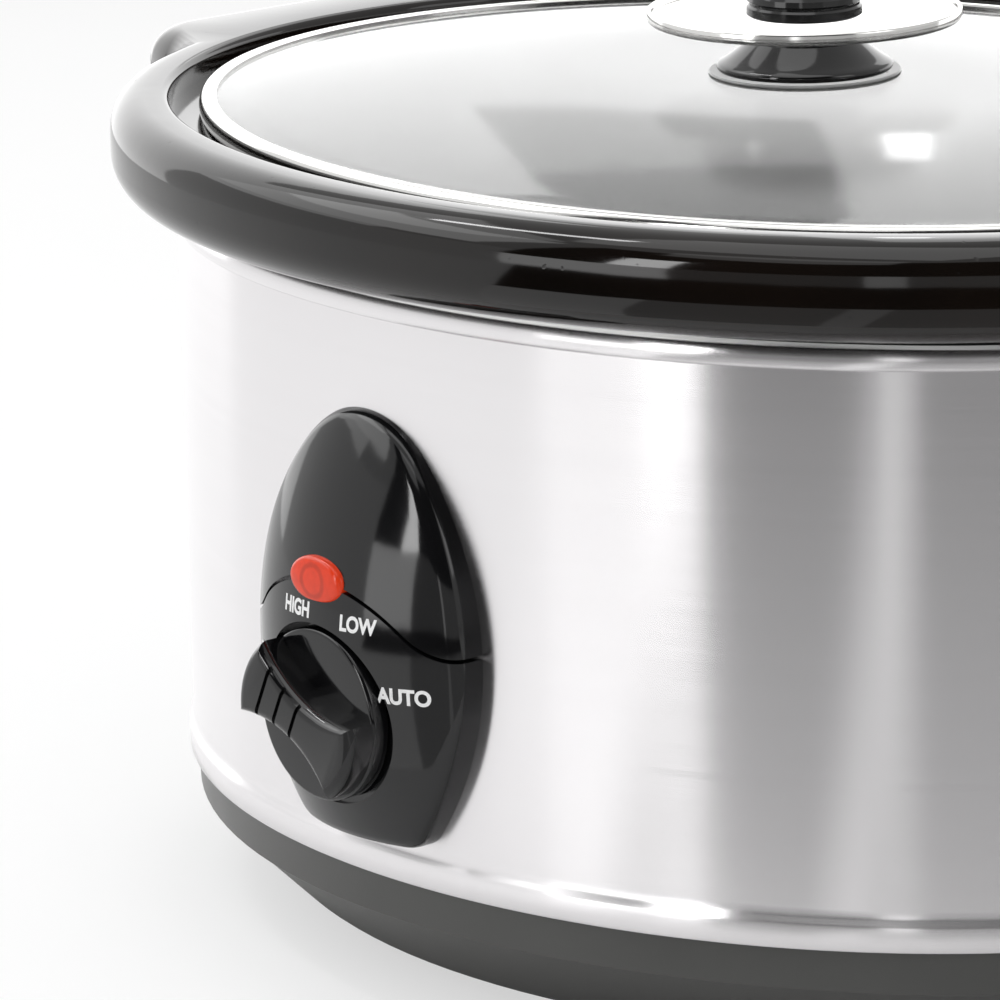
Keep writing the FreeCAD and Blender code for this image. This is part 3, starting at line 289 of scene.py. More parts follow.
def brushed_steel(name, tone, along, fine):
    """Steel brushed level round the body: streaks that are long one way and fine the other."""
    finish = Finish(name, metallic=1.0, anisotropic=0.97, anisotropic_rotation=0.25)
    fine_streaks = finish.noise(finish.place((along, along, fine)), 1.0, 4.0, 0.62)
    broad_streaks = finish.noise(finish.place((along * 0.5, along * 0.5, fine * 0.18)), 1.0, 2.0)
    blotch = finish.noise(finish.place(), 9.0, 2.0)
    streaks = fine_streaks * 0.7 + broad_streaks * 0.3
    finish.tint(streaks, tone, 0.965, 1.03)
    finish.set("Roughness", streaks * 0.08 + blotch * 0.03 + 0.175)
    finish.bump(fine_streaks, 0.012, 0.0002)
    return finish.material


def gloss_plastic(name, tone, rough):
    """Moulded glossy plastic: a faint ripple, dull handling marks and fine scratches."""
    finish = Finish(name, ior=1.5)
    ripple = finish.noise(finish.place(), 140.0, 2.0)
    handling = finish.noise(finish.place(), 28.0, 5.0, 0.65)
    scratch = finish.noise(finish.place((300, 40, 900), turn=(0.3, 0.5, 0.2)), 1.0, 2.0)
    finish.tint(handling, tone, 0.8, 1.35)
    scratches = finish.ramp(scratch, [(0.62, 0.0), (0.72, 0.02)])
    finish.set("Roughness", handling * 0.07 + scratches + (rough - 0.03))
    finish.bump(ripple, 0.05, 0.0004)
    return finish.material


def satin_plastic(name, tone, rough=0.42):
    """Satin moulded plastic with a fine spark-eroded grain."""
    finish = Finish(name, ior=1.48)
    grain = finish.noise(finish.place(), 2600.0, 2.0)
    cloud = finish.noise(finish.place(), 35.0, 3.0)
    finish.tint(cloud, tone, 0.88, 1.12)
    finish.set("Roughness", cloud * 0.1 + grain * 0.06 + (rough - 0.08))
    finish.bump(grain, 0.12, 0.00012)
    return finish.material


def glazed(name, tone, edge, rough=0.05):
    """Fired glaze: deep gloss, faint orange peel, pinholes and a warmer tone where it runs thin."""
    finish = Finish(name, ior=1.45)
    peel = finish.noise(finish.place(), 60.0, 2.0)
    pool = finish.noise(finish.place(), 14.0, 3.0)
    pits = finish.noise(finish.place(), 420.0, 1.0)
    holes = finish.ramp(pits, [(0.76, 0.0), (0.8, 1.0)])
    thin = finish.ramp(pool, [(0.35, 0.0), (0.75, 1.0)])
    finish.set("Base_Color", finish.mix(thin, tone, edge))
    finish.set("Roughness", holes * 0.2 + pool * 0.04 + rough)
    finish.bump(peel + holes * -0.4, 0.06, 0.0008)
    return finish.material


def sheet_metal(name, tone, rough, grain=400.0):
    """Plain drawn sheet or plated metal with handling stains."""
    finish = Finish(name, metallic=1.0)
    grit = finish.noise(finish.place(), grain, 4.0)
    stain = finish.noise(finish.place(), 26.0, 4.0, 0.6)
    finish.tint(stain, tone, 0.86, 1.06)
    finish.set("Roughness", stain * 0.18 + grit * 0.08 + (rough - 0.12))
    finish.bump(grit, 0.08, 0.0002)
    return finish.material


def bright_steel(name, tone):
    """Polished steel strip with faint rolling marks."""
    finish = Finish(name, metallic=1.0)
    roll = finish.noise(finish.place((60, 60, 1500)), 1.0, 3.0)
    smear = finish.noise(finish.place(), 40.0, 3.0)
    finish.tint(smear, tone, 0.94, 1.05)
    finish.set("Roughness", smear * 0.08 + roll * 0.05 + 0.07)
    finish.bump(roll, 0.03, 0.0002)
    return finish.material


def clear_glass(name, tone, rough):
    """Pressed glass with a slow ripple and a few dry water marks."""
    finish = Finish(name, ior=1.47, transmission_weight=1.0)
    ripple = finish.noise(finish.place(), 16.0, 2.0)
    marks = finish.noise(finish.place(), 55.0, 6.0, 0.7)
    film = finish.ramp(marks, [(0.56, 0.0), (0.74, 0.05)])
    finish.tint(ripple, tone, 1.0, 0.985)
    finish.set("Roughness", film + rough)
    finish.bump(ripple, 0.02, 0.001)
    return finish.material


def lamp_lens(name, tone, centre):
    """Red moulded lens with a darker ring behind its face and a brighter middle; a faint painted glow,
    weaker over the ring, stands in for light shining through the lens.
    """
    finish = Finish(name, ior=1.4)
    across = finish.place(offset=[-place for place in centre])
    flat = finish.add("ShaderNodeVectorMath", {"operation": "MULTIPLY"}, {0: across, 1: (1.0, 0.0, 1.0)})
    far = finish.add("ShaderNodeVectorMath", {"operation": "LENGTH"}, {0: flat}, "Value")
    ring = finish.ramp(far / (8.0 * MM), [(0.30, 0.0), (0.36, 1.0), (0.42, 1.0), (0.48, 0.0)])
    cloud = finish.noise(finish.place(), 700.0, 3.0)
    body = finish.mix(cloud, shade(tone, 0.85), shade(tone, 1.2))
    finish.set("Base_Color", finish.mix(ring * 0.45, body, shade(tone, 0.45)))
    finish.set("Roughness", cloud * 0.06 + 0.1)
    # Painted glow: a faint emission, weaker over the ring, stands in for light shining through the lens,
    # though no lamp in the scene lights it.
    finish.set("Emission_Color", finish.mix(ring * 0.5, shade(tone, 0.9), shade(tone, 0.3)))
    finish.set("Emission_Strength", 0.12)
    finish.bump(cloud, 0.03, 0.0002)
    return finish.material


def soft_rubber(name, tone, rough=0.7, clear=0.0):
    """Moulded rubber or silicone with a dusty bloom."""
    finish = Finish(name, ior=1.45, transmission_weight=clear)
    bloom = finish.noise(finish.place(), 90.0, 5.0, 0.6)
    grain = finish.noise(finish.place(), 1500.0, 2.0)
    finish.tint(bloom, tone, 0.85, 1.2)
    finish.set("Roughness", bloom * 0.15 + (rough - 0.08))
    finish.bump(grain, 0.1, 0.0001)
    return finish.material


def woven_tape(name, tone, pitch):
    """Woven glass tape: crossing threads with loose fibre."""
    finish = Finish(name, ior=1.45)

    def wave(direction, where):
        inputs = {"Vector": where, "Scale": pitch, "Distortion": 0.6, "Detail": 2.0}
        return finish.add("ShaderNodeTexWave", {"bands_direction": direction}, inputs, "Fac")

    fibre = finish.noise(finish.place(), 900.0, 4.0)
    threads = wave("Z", finish.place()) * wave("DIAGONAL", finish.place((1, 1, 0.02)))
    finish.tint(threads, tone, 0.72, 1.08)
    finish.set("Roughness", fibre * 0.1 + 0.82)
    finish.bump(threads + fibre * 0.4, 0.5, 0.0004)
    return finish.material


def felted(name, tone):
    """Mineral fibre mat: clumps with fine loose fibre."""
    finish = Finish(name, ior=1.4)
    clump = finish.noise(finish.place(), 60.0, 5.0, 0.7)
    fibre = finish.noise(finish.place((1, 1, 4)), 500.0, 4.0)
    finish.tint(clump, tone, 0.78, 1.05)
    finish.set("Roughness", fibre * 0.08 + 0.88)
    finish.bump(clump + fibre * 0.5, 0.6, 0.0008)
    return finish.material


def printed(name, tone):
    """Printed letters: a thin coat with slightly uneven ink."""
    finish = Finish(name, ior=1.45)
    ink = finish.noise(finish.place(), 1800.0, 3.0)
    finish.tint(ink, tone, 0.93, 1.03)
    finish.set("Roughness", ink * 0.1 + 0.42)
    return finish.material


def studio_floor(name, tone, lift):
    """Pale floor that keeps the soft shadow, lifted towards white where the camera sees it."""
    finish = Finish(name, roughness=0.9)
    cloud = finish.noise(finish.place(), 3.0, 3.0)
    finish.tint(cloud, tone, 0.985, 1.015)
    seen = finish.add("ShaderNodeLightPath", out="Is Camera Ray") * lift
    white = finish.add("ShaderNodeEmission", None, {"Color": (1, 1, 1), "Strength": 1.0})
    lit = Value(finish, finish.surface.outputs[0])
    both = finish.add("ShaderNodeMixShader", None, {0: seen, 1: lit, 2: white})
    finish.feed(finish.tree.nodes["Material Output"].inputs["Surface"], both)
    return finish.material


def added(add, **settings):
    """What an operator adds, with nothing else selected."""
    bpy.ops.object.select_all(action="DESELECT")
    add(**settings)
    return bpy.context.object


def pick(piece):
    """Makes a piece the only one selected."""
    bpy.ops.object.select_all(action="DESELECT")
    piece.select_set(True)
    bpy.context.view_layer.objects.active = piece


def alter(piece, name, kind, **settings):
    """Gives the picked piece a modifier and applies it."""
    step = piece.modifiers.new(name, kind)
    for setting, value in settings.items():
        setattr(step, setting, value)
    bpy.ops.object.modifier_apply(modifier=step.name)


class Wall:
    """A mesh that starts as a circle and is pulled on from line to line in edit mode."""

    def __init__(self, name, count, line):
        self.piece = added(bpy.ops.mesh.primitive_circle_add, vertices=count, radius=1.0)
        self.piece.name = name
        self.piece.data.name = name
        bpy.ops.object.mode_set(mode="EDIT")
        bpy.ops.mesh.select_all(action="SELECT")
        mesh = bmesh.from_edit_mesh(self.piece.data)
        turn = mesh.verts.layers.float.new("turn")
        for n, point in enumerate(mesh.verts):
            point[turn] = n / count
        bmesh.update_edit_mesh(self.piece.data)
        self.put(line)

    @classmethod
    def closed(cls, name, count, line):
        """A wall that goes on from a closed end."""
        wall = cls(name, count, line)
        wall.cap()
        wall.pick_open()
        return wall

    def pick_open(self):
        """Selects the open line alone."""
        bpy.ops.mesh.select_all(action="DESELECT")
        mesh = bmesh.from_edit_mesh(self.piece.data)
        for edge in mesh.edges:
            if len(edge.link_faces) == 1:
                edge.select_set(True)
        bmesh.update_edit_mesh(self.piece.data)

    def put(self, line):
        """Moves the selected points to where the line says."""
        mesh = bmesh.from_edit_mesh(self.piece.data)
        turn = mesh.verts.layers.float["turn"]
        for point in mesh.verts:
            if point.select:
                point.co = line(point[turn])
        bmesh.update_edit_mesh(self.piece.data)

    def pull(self, *lines):
        for line in lines:
            bpy.ops.mesh.extrude_edges_move()
            self.put(line)

    def cap(self):
        """Closes the open line to one point in its middle."""
        bpy.ops.mesh.extrude_edges_move()
        bpy.ops.mesh.merge(type="CENTER")

    def unwrap(self):
        """Lays the grain: U round the wall, V up it in metres."""
        mesh = bmesh.from_edit_mesh(self.piece.data)
        turn = mesh.verts.layers.float["turn"]
        grain = mesh.loops.layers.uv.new("grain")
        for face in mesh.faces:
            last = max(corner.vert[turn] for corner in face.loops)
            for corner in face.loops:
                round_to = corner.vert[turn]
                if last - round_to > 0.5:
                    round_to += 1.0
                corner[grain].uv = (round_to, corner.vert.co.z)
        bmesh.update_edit_mesh(self.piece.data)

    def done(self):
        """Joins lines that meet, turns the faces outwards and leaves edit mode."""
        bpy.ops.mesh.select_all(action="SELECT")
        bpy.ops.mesh.remove_doubles(threshold=WELD)
        bpy.ops.mesh.normals_make_consistent(inside=False)
        bpy.ops.object.mode_set(mode="OBJECT")
        return self.piece


def oval_line(long, short, z):
    """A level oval: each point by its share of a turn."""

    def line(turn):
        angle = turn * math.tau
        return Vector((long * math.cos(angle), short * math.sin(angle), z))

    return line


def round_line(radius, z):
    return oval_line(radius, radius, z)


def turns(start, end, steps):
    """Even steps from one angle to another, both in degrees, as radians."""
    return [math.radians(start + (end - start) * n / steps) for n in range(steps + 1)]


def bend(across, up, radius, start, end, steps):
    """Points on an arc of a profile, by angle in degrees from level outwards."""
    angles = turns(start, end, steps)
    return [(across + radius * math.cos(a), up + radius * math.sin(a)) for a in angles]


def through(points, spot):
    """A line that takes its points from a list."""

    def line(turn):
        return spot(*points[round(turn * len(points)) % len(points)])

    return line


def oval_wall(name, count, long, short, profile, grain=True):
    """A closed wall round an oval: each profile point is an offset from the oval and a height."""
    lines = [oval_line(long + out, short + out, z) for out, z in profile]
    wall = Wall(name, count, lines[0])
    wall.pull(*lines[1:], lines[0])
    if grain:
        wall.unwrap()
    return wall.done()


def turned(name, count, profile):
    """A turned piece: each profile point is a radius and a height, and closes on itself."""
    return oval_wall(name, count, 0.0, 0.0, profile, grain=False)


def dress(piece, material, body, slot, *nodes, angle=35.0):
    """Smooths a piece, gives it its finish and hangs it on its body."""
    pick(piece)
    bpy.ops.object.shade_smooth_by_angle(angle=math.radians(angle))
    piece.data.materials.clear()
    piece.data.materials.append(material)
    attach(piece, body)
    if nodes:
        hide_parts(*nodes)
    return piece


def cut_with(piece, tool, operation="DIFFERENCE"):
    """Cuts a piece with another and removes the tool."""
    pick(piece)
    alter(piece, "cut", "BOOLEAN", operation=operation, solver="EXACT", object=tool)
    bpy.data.objects.remove(tool)


def block(low, high):
    """A plain block between two corners, to cut with."""
    tool = added(bpy.ops.mesh.primitive_cube_add, size=1.0)
    size = Vector(high) - Vector(low)
    centre = (Vector(low) + Vector(high)) / 2
    tool.data.transform(Matrix.Translation(centre) @ Matrix.Diagonal((*size, 1.0)))
    return tool


def peg(radius, z, back, front, count):
    """A plain peg from back to front, to cut with."""
    tool = added(bpy.ops.mesh.primitive_cylinder_add, vertices=count, radius=radius, depth=back - front)
    stand = Matrix.Rotation(math.pi / 2, 4, "X")
    tool.data.transform(Matrix.Translation((0, (back + front) / 2, z)) @ stand)
    return tool


def smooth_copy(node, material):
    """A merged and smoothed copy that stands for a packed node."""
    pick(frame["nodes"][node])
    bpy.ops.object.duplicate()
    piece = bpy.context.object
    piece.name = f"{node}_piece"
    piece.data.name = piece.name
    piece.parent = None
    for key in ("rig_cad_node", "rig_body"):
        if key in piece:
            del piece[key]
    bpy.ops.object.mode_set(mode="EDIT")
    bpy.ops.mesh.select_all(action="SELECT")
    bpy.ops.mesh.customdata_custom_splitnormals_clear()
    bpy.ops.mesh.remove_doubles(threshold=WELD)
    bpy.ops.object.mode_set(mode="OBJECT")
    record = frame["record"]
    body = next(name for name, members in record["behaviour"]["bodies"].items() if node in members)
    slot = next(part["material_slot"] for part in record["subparts"] if part["node"] == node)
    dress(piece, material, body, slot, node)
    alter(piece, "flat faces first", "WEIGHTED_NORMAL", keep_sharp=True, weight=80)
    return piece


def base_oval():
    """Long and short radius of the shell's plain wall."""
    body = bpy.context.scene.cooker_body
    return SHELL_HIGH.x - body.bead, SHELL_HIGH.y - body.bead


class COOKER_OT_body(bpy.types.Operator):
    """Brushed steel shell with a rolled bead at its top and a flared foot"""

    bl_idname = "cooker.body"
    bl_label = "Steel body"

    def execute(self, context):
        body = context.scene.cooker_body
        long, short = base_oval()
        low, high = SHELL_LOW.z, SHELL_HIGH.z
        bead_low = high - body.bead_height
        roll = body.bead_height / 2
        flare_top = low + body.flare_height
        squash = body.bead / roll
        bead = [(x * squash, z) for x, z in bend(0.0, bead_low + roll, roll, -90, 90, 12)]
        profile = [
            (-body.wall, low),
            (body.flare * 0.6, low),
            (body.flare, low + 0.5 * MM),
            (body.flare, flare_top - 1.4 * MM),
            (body.flare * 0.8, flare_top - 0.7 * MM),
            (body.flare * 0.25, flare_top),
            (0.0, flare_top + 0.8 * MM),
            (0.0, flare_top + 2.0 * MM),
            (0.0, bead_low - 1.0 * MM),
            *bead,
            (-body.wall, high),
            (-body.wall, bead_low),
            (-body.wall, flare_top),
        ]
        shell = oval_wall("steel_shell", body.steps, long, short, profile)
        inside, outside = 90 * MM, 140 * MM
        half, sill, head = 19 * MM, low + 18 * MM, low + 70 * MM
        cut_with(shell, block((-half, -outside, sill), (half, -inside, head)))
        gap = 0.3 * MM
        left, right, top = BUSHING_LOW.x - gap, BUSHING_HIGH.x + gap, BUSHING_HIGH.z + gap
        cut_with(shell, block((left, inside, low - 5 * MM), (right, outside, top)))
        steel = brushed_steel("shell_brushed_steel", body.steel, 5.0, 2600.0)
        dress(shell, steel, "base", "shell_steel", "outer_shell", angle=50.0)
        return {"FINISHED"}


class COOKER_OT_crock(bpy.types.Operator):
    """Glazed crock with a thick rounded rim and a lug at each end"""

    bl_idname = "cooker.crock"
    bl_label = "Crock"

    def rim(self, long, short, tip, half, corner):
        """A rim line maker: the oval with a round-cornered lug at each end."""
        fillet = 16 * MM
        nudge = 1e-3

        def reach(angle):
            across = abs(math.cos(angle))
            along = abs(math.sin(angle))
            oval = 1 / math.hypot(across / long, along / short)
            lug = tip / max(across, 1e-9)
            if lug * along > half - corner:
                x, y = tip - corner, half - corner
                middle = x * across + y * along
                spare = middle * middle - (x * x + y * y - corner * corner)
                lug = middle + math.sqrt(spare) if spare > 0 else 0.0
            near = max(oval, lug)
            blend = max(fillet - abs(oval - lug), 0.0)
            return near + blend * blend / (4 * fillet) if lug > 0 else near

        def spot(angle):
            return Vector((math.cos(angle), math.sin(angle), 0.0)) * reach(angle)

        def line(inset, z):
            def place(turn):
                angle = turn * math.tau
                along = (spot(angle + nudge) - spot(angle - nudge)).normalized()
                out = Vector((along.y, -along.x, 0.0))
                point = spot(angle) - out * inset
                return Vector((point.x, point.y, z))

            return place

        return line

    def execute(self, context):
        crock = context.scene.cooker_crock
        long, short = base_oval()
        broader = 1.5 * MM
        well_foot, well_mouth = 38.0 * MM, 144.3 * MM
        foot_gap, mouth_gap, well_gap = 21.5 * MM, 9.0 * MM, 3.5 * MM
        bottom, top = CROCK_LOW.z, CROCK_HIGH.z
        rim_bottom = top - 19.5 * MM
        ledge = top - crock.ledge_depth
        tip = CROCK_HIGH.x - 0.3 * MM
        over = CROCK_HIGH.x - crock.lug_reach - long
        rim = self.rim(long + over, short + over + broader, tip, crock.lug_half, crock.lug_corner)
        low, high = crock.round_bottom, crock.round_top
        side = [rim(low - x, z) for x, z in bend(0.0, rim_bottom + low, low, -90, 0, 8)]
        shoulder = [rim(high - x, z) for x, z in bend(0.0, top - high, high, 0, 90, 8)]
        foot, wall = 12.0 * MM, 6.0 * MM

        def taper(z, inset):
            share = (z - well_foot) / (well_mouth - well_foot)
            gap = foot_gap + (mouth_gap - foot_gap) * share + well_gap + inset
            return oval_line(long - gap, short - gap, z)

        def bowl(start, inset, end):
            lines = []
            for a in turns(0, 90, 8):
                up, inward = foot * (1 - math.cos(a)), foot * (1 - math.sin(a))
                lines.append(taper(start + up, inset + inward))
            return [*lines, taper((start + foot + end) / 2, inset), taper(end, inset)]

        def around(out, z):
            return oval_line(long + out, short + out, z)

        def between(share):
            high, low = taper(ledge, wall - 2.2 * MM), taper(mouth_low, wall)
            return lambda turn: high(turn).lerp(low(turn), share)

        mouth_low = ledge - 3.0 * MM
        under_rim = rim_bottom - 1.7 * MM
        floor = bottom + wall
        middle = foot + 40 * MM
        seat = mouth_gap - 0.8 * MM - 4.5 * MM
        ease = 1.6 * MM
        lip = [(-0.4 * MM, ledge), (0.0, ledge), *bend(ease, top - ease, ease, 180, 90, 5)]
        recess = [oval_line(long + out, short + broader + out, z) for out, z in lip]
        shaped = Wall.closed("glazed_crock", 320, taper(bottom, middle))
        shaped.pull(
            *bowl(bottom, 0.0, under_rim),
            around(-seat - 0.6 * MM, under_rim),
            around(-seat, rim_bottom - 1.2 * MM),
            around(-seat, rim_bottom),
            *side,
            *shoulder,
            *reversed(recess),
            *[between(share) for share in (0.0, 0.25, 0.5, 0.75)],
            *reversed(bowl(floor, wall, mouth_low)),
            taper(floor, wall + middle),
        )
        shaped.cap()
        piece = shaped.done()
        material = glazed("black_glaze", crock.glaze, (0.008, 0.005, 0.0035))
        dress(piece, material, "crock", "crock_glaze", "crock", angle=60.0)
        return {"FINISHED"}


class COOKER_OT_lid(bpy.types.Operator):
    """Shallow glass dome in a rolled steel band"""

    bl_idname = "cooker.lid"
    bl_label = "Glass lid"

    def execute(self, context):
        lid = context.scene.cooker_lid
        long, short = BAND_HIGH.x, BAND_HIGH.y
        low, high = BAND_LOW.z, BAND_HIGH.z
        half = (high - low) / 2
        squash = 0.55
        profile = [((x - half) * squash, z) for x, z in bend(0.0, low + half, half, -90, 90, 14)]
        lip = 0.5 * MM
        profile += [
            (-lid.band_width + lip, high),
            (-lid.band_width, high - lip * 0.6),
            (-lid.band_width, low + lip * 0.6),
            (-lid.band_width + lip, low),
        ]
        band = oval_wall("steel_lid_band", 256, long, short, profile)
        dress(band, bright_steel("bright_band_steel", lid.steel), "lid", "band_steel", "lid_rim_band")

        edge = lid.band_width - 0.9 * MM
        thick = lid.glass_thick
        edge_low = GLASS_LOW.z
        rise = GLASS_HIGH.z - edge_low - thick
        hole = LID_HOLE

        def dome(lift, start):
            lines = []
            for n in range(15):
                share = n / 14
                up = math.sin(math.pi / 2 * share**0.92)
                inset = start + lid.dome_inward * share
                lines.append(oval_line(long - inset, short - inset, lift + rise * up))
            far = [radius - start - lid.dome_inward for radius in (long, short)]
            for share in (0.4, 0.75, 1.0):
                lines.append(oval_line(*[radius + (hole - radius) * share for radius in far], lift + rise))
            return lines

        top = dome(edge_low + thick, lid.band_width + 0.1 * MM)
        under = dome(edge_low, lid.band_width + thick)
        rim = [oval_line(long - edge, short - edge, z) for z in (edge_low, edge_low + thick)]
        glass = Wall("lid_dome_glass", 192, rim[0])
        glass.pull(rim[1], *top, *reversed(under), rim[0])
        piece = glass.done()
        dress(piece, clear_glass("lid_clear_glass", lid.glass, 0.075), "lid", "lid_glass", "lid_glass")
        return {"FINISHED"}


class COOKER_OT_lid_knob(bpy.types.Operator):
    """Black knob, steel guard disc, black foot and clear gasket on the lid"""

    bl_idname = "cooker.lid_knob"
    bl_label = "Lid knob"

    # Grooved collar under the knob: way in from its neck and height, in millimetres.
    collar = (
        (0.6, 0.0), (0.0, 0.4), (0.0, 1.9), (0.5, 2.3), (0.5, 2.8), (0.1, 3.2), (0.2, 4.3), (1.1, 4.9),
    )

    def execute(self, context):
        lid = context.scene.cooker_lid
        black = gloss_plastic("knob_gloss_black", (0.006, 0.006, 0.006), 0.08)
        hole = LID_HOLE
        low, high = GASKET_LOW.z, GASKET_HIGH.z
        edge = GASKET_HIGH.x
        side = [(edge - 0.2 * MM, low), (edge, low + 0.25 * MM), (edge - 0.25 * MM, high)]
        ring = turned("clear_gasket", 96, [(hole, low), *side, (hole, high)])
        clear = soft_rubber("clear_silicone", (0.90, 0.90, 0.88), 0.3, 0.4)
        dress(ring, clear, "lid", "gasket", "lid_gasket")

        low, high = FOOT_LOW.z, FOOT_HIGH.z
        edge = FOOT_HIGH.x
        lip = 0.9 * MM
        skirt = bend(edge - lip, low + lip, lip, -60, 60, 7)
        cone_edge, cone_low, cone_rise = edge - 0.6 * MM, low + 1.8 * MM, 4.2 * MM
        cone = [(cone_edge + (lid.stem - cone_edge) * share, cone_low + cone_rise * share**1.15)
                for share in [n / 8 for n in range(9)]]
        foot = turned("knob_foot_piece", 128, [(hole, low), *skirt, *cone, (lid.stem, high), (hole, high)])
        dress(foot, black, "lid", "knob_black", "knob_foot")
        # The glass doesn't mirror the knob and what lies under it.
        foot.visible_glossy = False

        low, high = GUARD_LOW.z, GUARD_HIGH.z
        edge = GUARD_HIGH.x
        thick = 0.9 * MM
        curl = 0.9 * MM
        flat = edge - curl - 3.0 * MM
        lower = [(hole, low), (lid.neck, low), (flat, low), (edge - curl - 0.8 * MM, low)]
        lower += bend(edge - curl, low + curl, curl, -90, 0, 6)
        lip = bend(edge - thick / 2, high - thick / 2, thick / 2, 0, 180, 6)
        inner = curl / 2
        upper = bend(edge - thick - inner, low + thick + inner, inner, 0, -90, 4)
        upper += [(x, low + thick) for x in (flat, lid.neck, hole)]
        guard = turned("steel_guard_disc", 160, [*lower, *lip, *upper])
        bright = bright_steel("bright_guard_steel", lid.steel)
        dress(guard, bright, "lid", "band_steel", "knob_guard_disc", angle=50.0)
        guard.visible_glossy = False

        low, high = KNOB_LOW.z, KNOB_HIGH.z
        edge = KNOB_HIGH.x
        dome = 7.0 * MM
        shoulder = high - dome
        waist, flare_low, flare_high = 10.4 * MM, low + 5.5 * MM, shoulder - 3 * MM
        flare = [(waist + (edge - waist) * share**1.6, flare_low + (flare_high - flare_low) * share)
                 for share in [n / 10 for n in range(11)]]
        crown = [(edge * math.cos(a), shoulder + dome * math.sin(a)) for a in turns(0, 85, 12)]
        collar = [(lid.neck - inward * MM, low + up * MM) for inward, up in self.collar]
        cap = Wall.closed("lid_knob_piece", 128, round_line(hole, low))
        cap.pull(*[round_line(radius, z) for radius, z in [*collar, *flare, *crown]])
        cap.cap()
        knob = dress(cap.done(), black, "lid", "knob_black", "lid_knob")
        knob.visible_glossy = False
        return {"FINISHED"}


class PanelShape:
    """The bulging egg of the control panel, and the wavy joint across it."""

    def __init__(self, panel):
        self.panel = panel
        self.level = SHELL_LOW.z
        self.long, self.short = base_oval()

    def bulge(self, x, z):
        """Where the front of the panel lies."""
        panel = self.panel
        ring = panel.round_up - panel.round_across
        tube = math.sqrt(max(panel.round_across**2 - x * x, 0.0))
        rise = z - self.level - panel.middle
        crown = self.short + panel.bulge
        return panel.round_up - crown - math.sqrt((ring + tube) ** 2 - rise * rise)

    def wall(self, x):
        """Where the steel shell lies behind the panel."""
        return -self.short * math.sqrt(1 - (x / self.long) ** 2)

    def outline(self, inset, count):
        """Points round the egg, from the right-hand foot up and over."""
        panel = self.panel
        half = panel.half_width - inset
        side = panel.side - inset
        corner = panel.corner - inset
        widest = self.level + panel.widest
        top = self.level + panel.top - inset
        foot = self.level + panel.foot + inset
        centre = side - half
        height = top - widest
        spare = side - height
        lift = (centre * centre - spare * spare) / (2 * spare)
        crown = height - lift
        depth = widest - foot - corner
        corner_x = math.sqrt((side - corner) ** 2 - depth * depth) - centre
        lean = math.atan2(depth, corner_x + centre)
        rise = math.atan2(lift, centre)
        right = []

        def arc(x, z, radius, start, end):
            steps = max(int(radius * abs(end - start) / (0.25 * MM)), 2)
            for n in range(steps):
                angle = start + (end - start) * n / steps
                right.append((x + radius * math.cos(angle), z + radius * math.sin(angle)))

        arc(corner_x, foot + corner, corner, -math.pi / 2, -lean)
        arc(-centre, widest, side, -lean, rise)
        arc(0.0, widest + lift, crown, rise, math.pi / 2)
        ring = [(0.0, foot), *right, (0.0, top), *[(-x, z) for x, z in reversed(right)]]
        reach = [0.0]
        for first, second in zip(ring, ring[1:] + ring[:1]):
            reach.append(reach[-1] + math.dist(first, second))
        points = []
        spot = 0
        for n in range(count):
            goal = reach[-1] * n / count
            while reach[spot + 1] < goal:
                spot += 1
            share = (goal - reach[spot]) / max(reach[spot + 1] - reach[spot], 1e-12)
            first, second = ring[spot], ring[(spot + 1) % len(ring)]
            points.append(tuple(a + (b - a) * share for a, b in zip(first, second)))
        return points

    def joint(self, x, shift):
        """Height of the wavy joint."""
        panel = self.panel
        crest = self.level + panel.crest + shift
        across = abs(x)
        hollow = (panel.reach**2 + panel.drop**2) / (2 * panel.drop) - panel.crest_radius
        turn = panel.reach * panel.crest_radius / (panel.crest_radius + hollow)
        if across <= turn:
            return crest - panel.crest_radius + math.sqrt(panel.crest_radius**2 - across * across)
        if across <= panel.reach:
            drop = panel.reach - across
            return crest - panel.drop + hollow - math.sqrt(hollow**2 - drop * drop)
        return crest - panel.drop


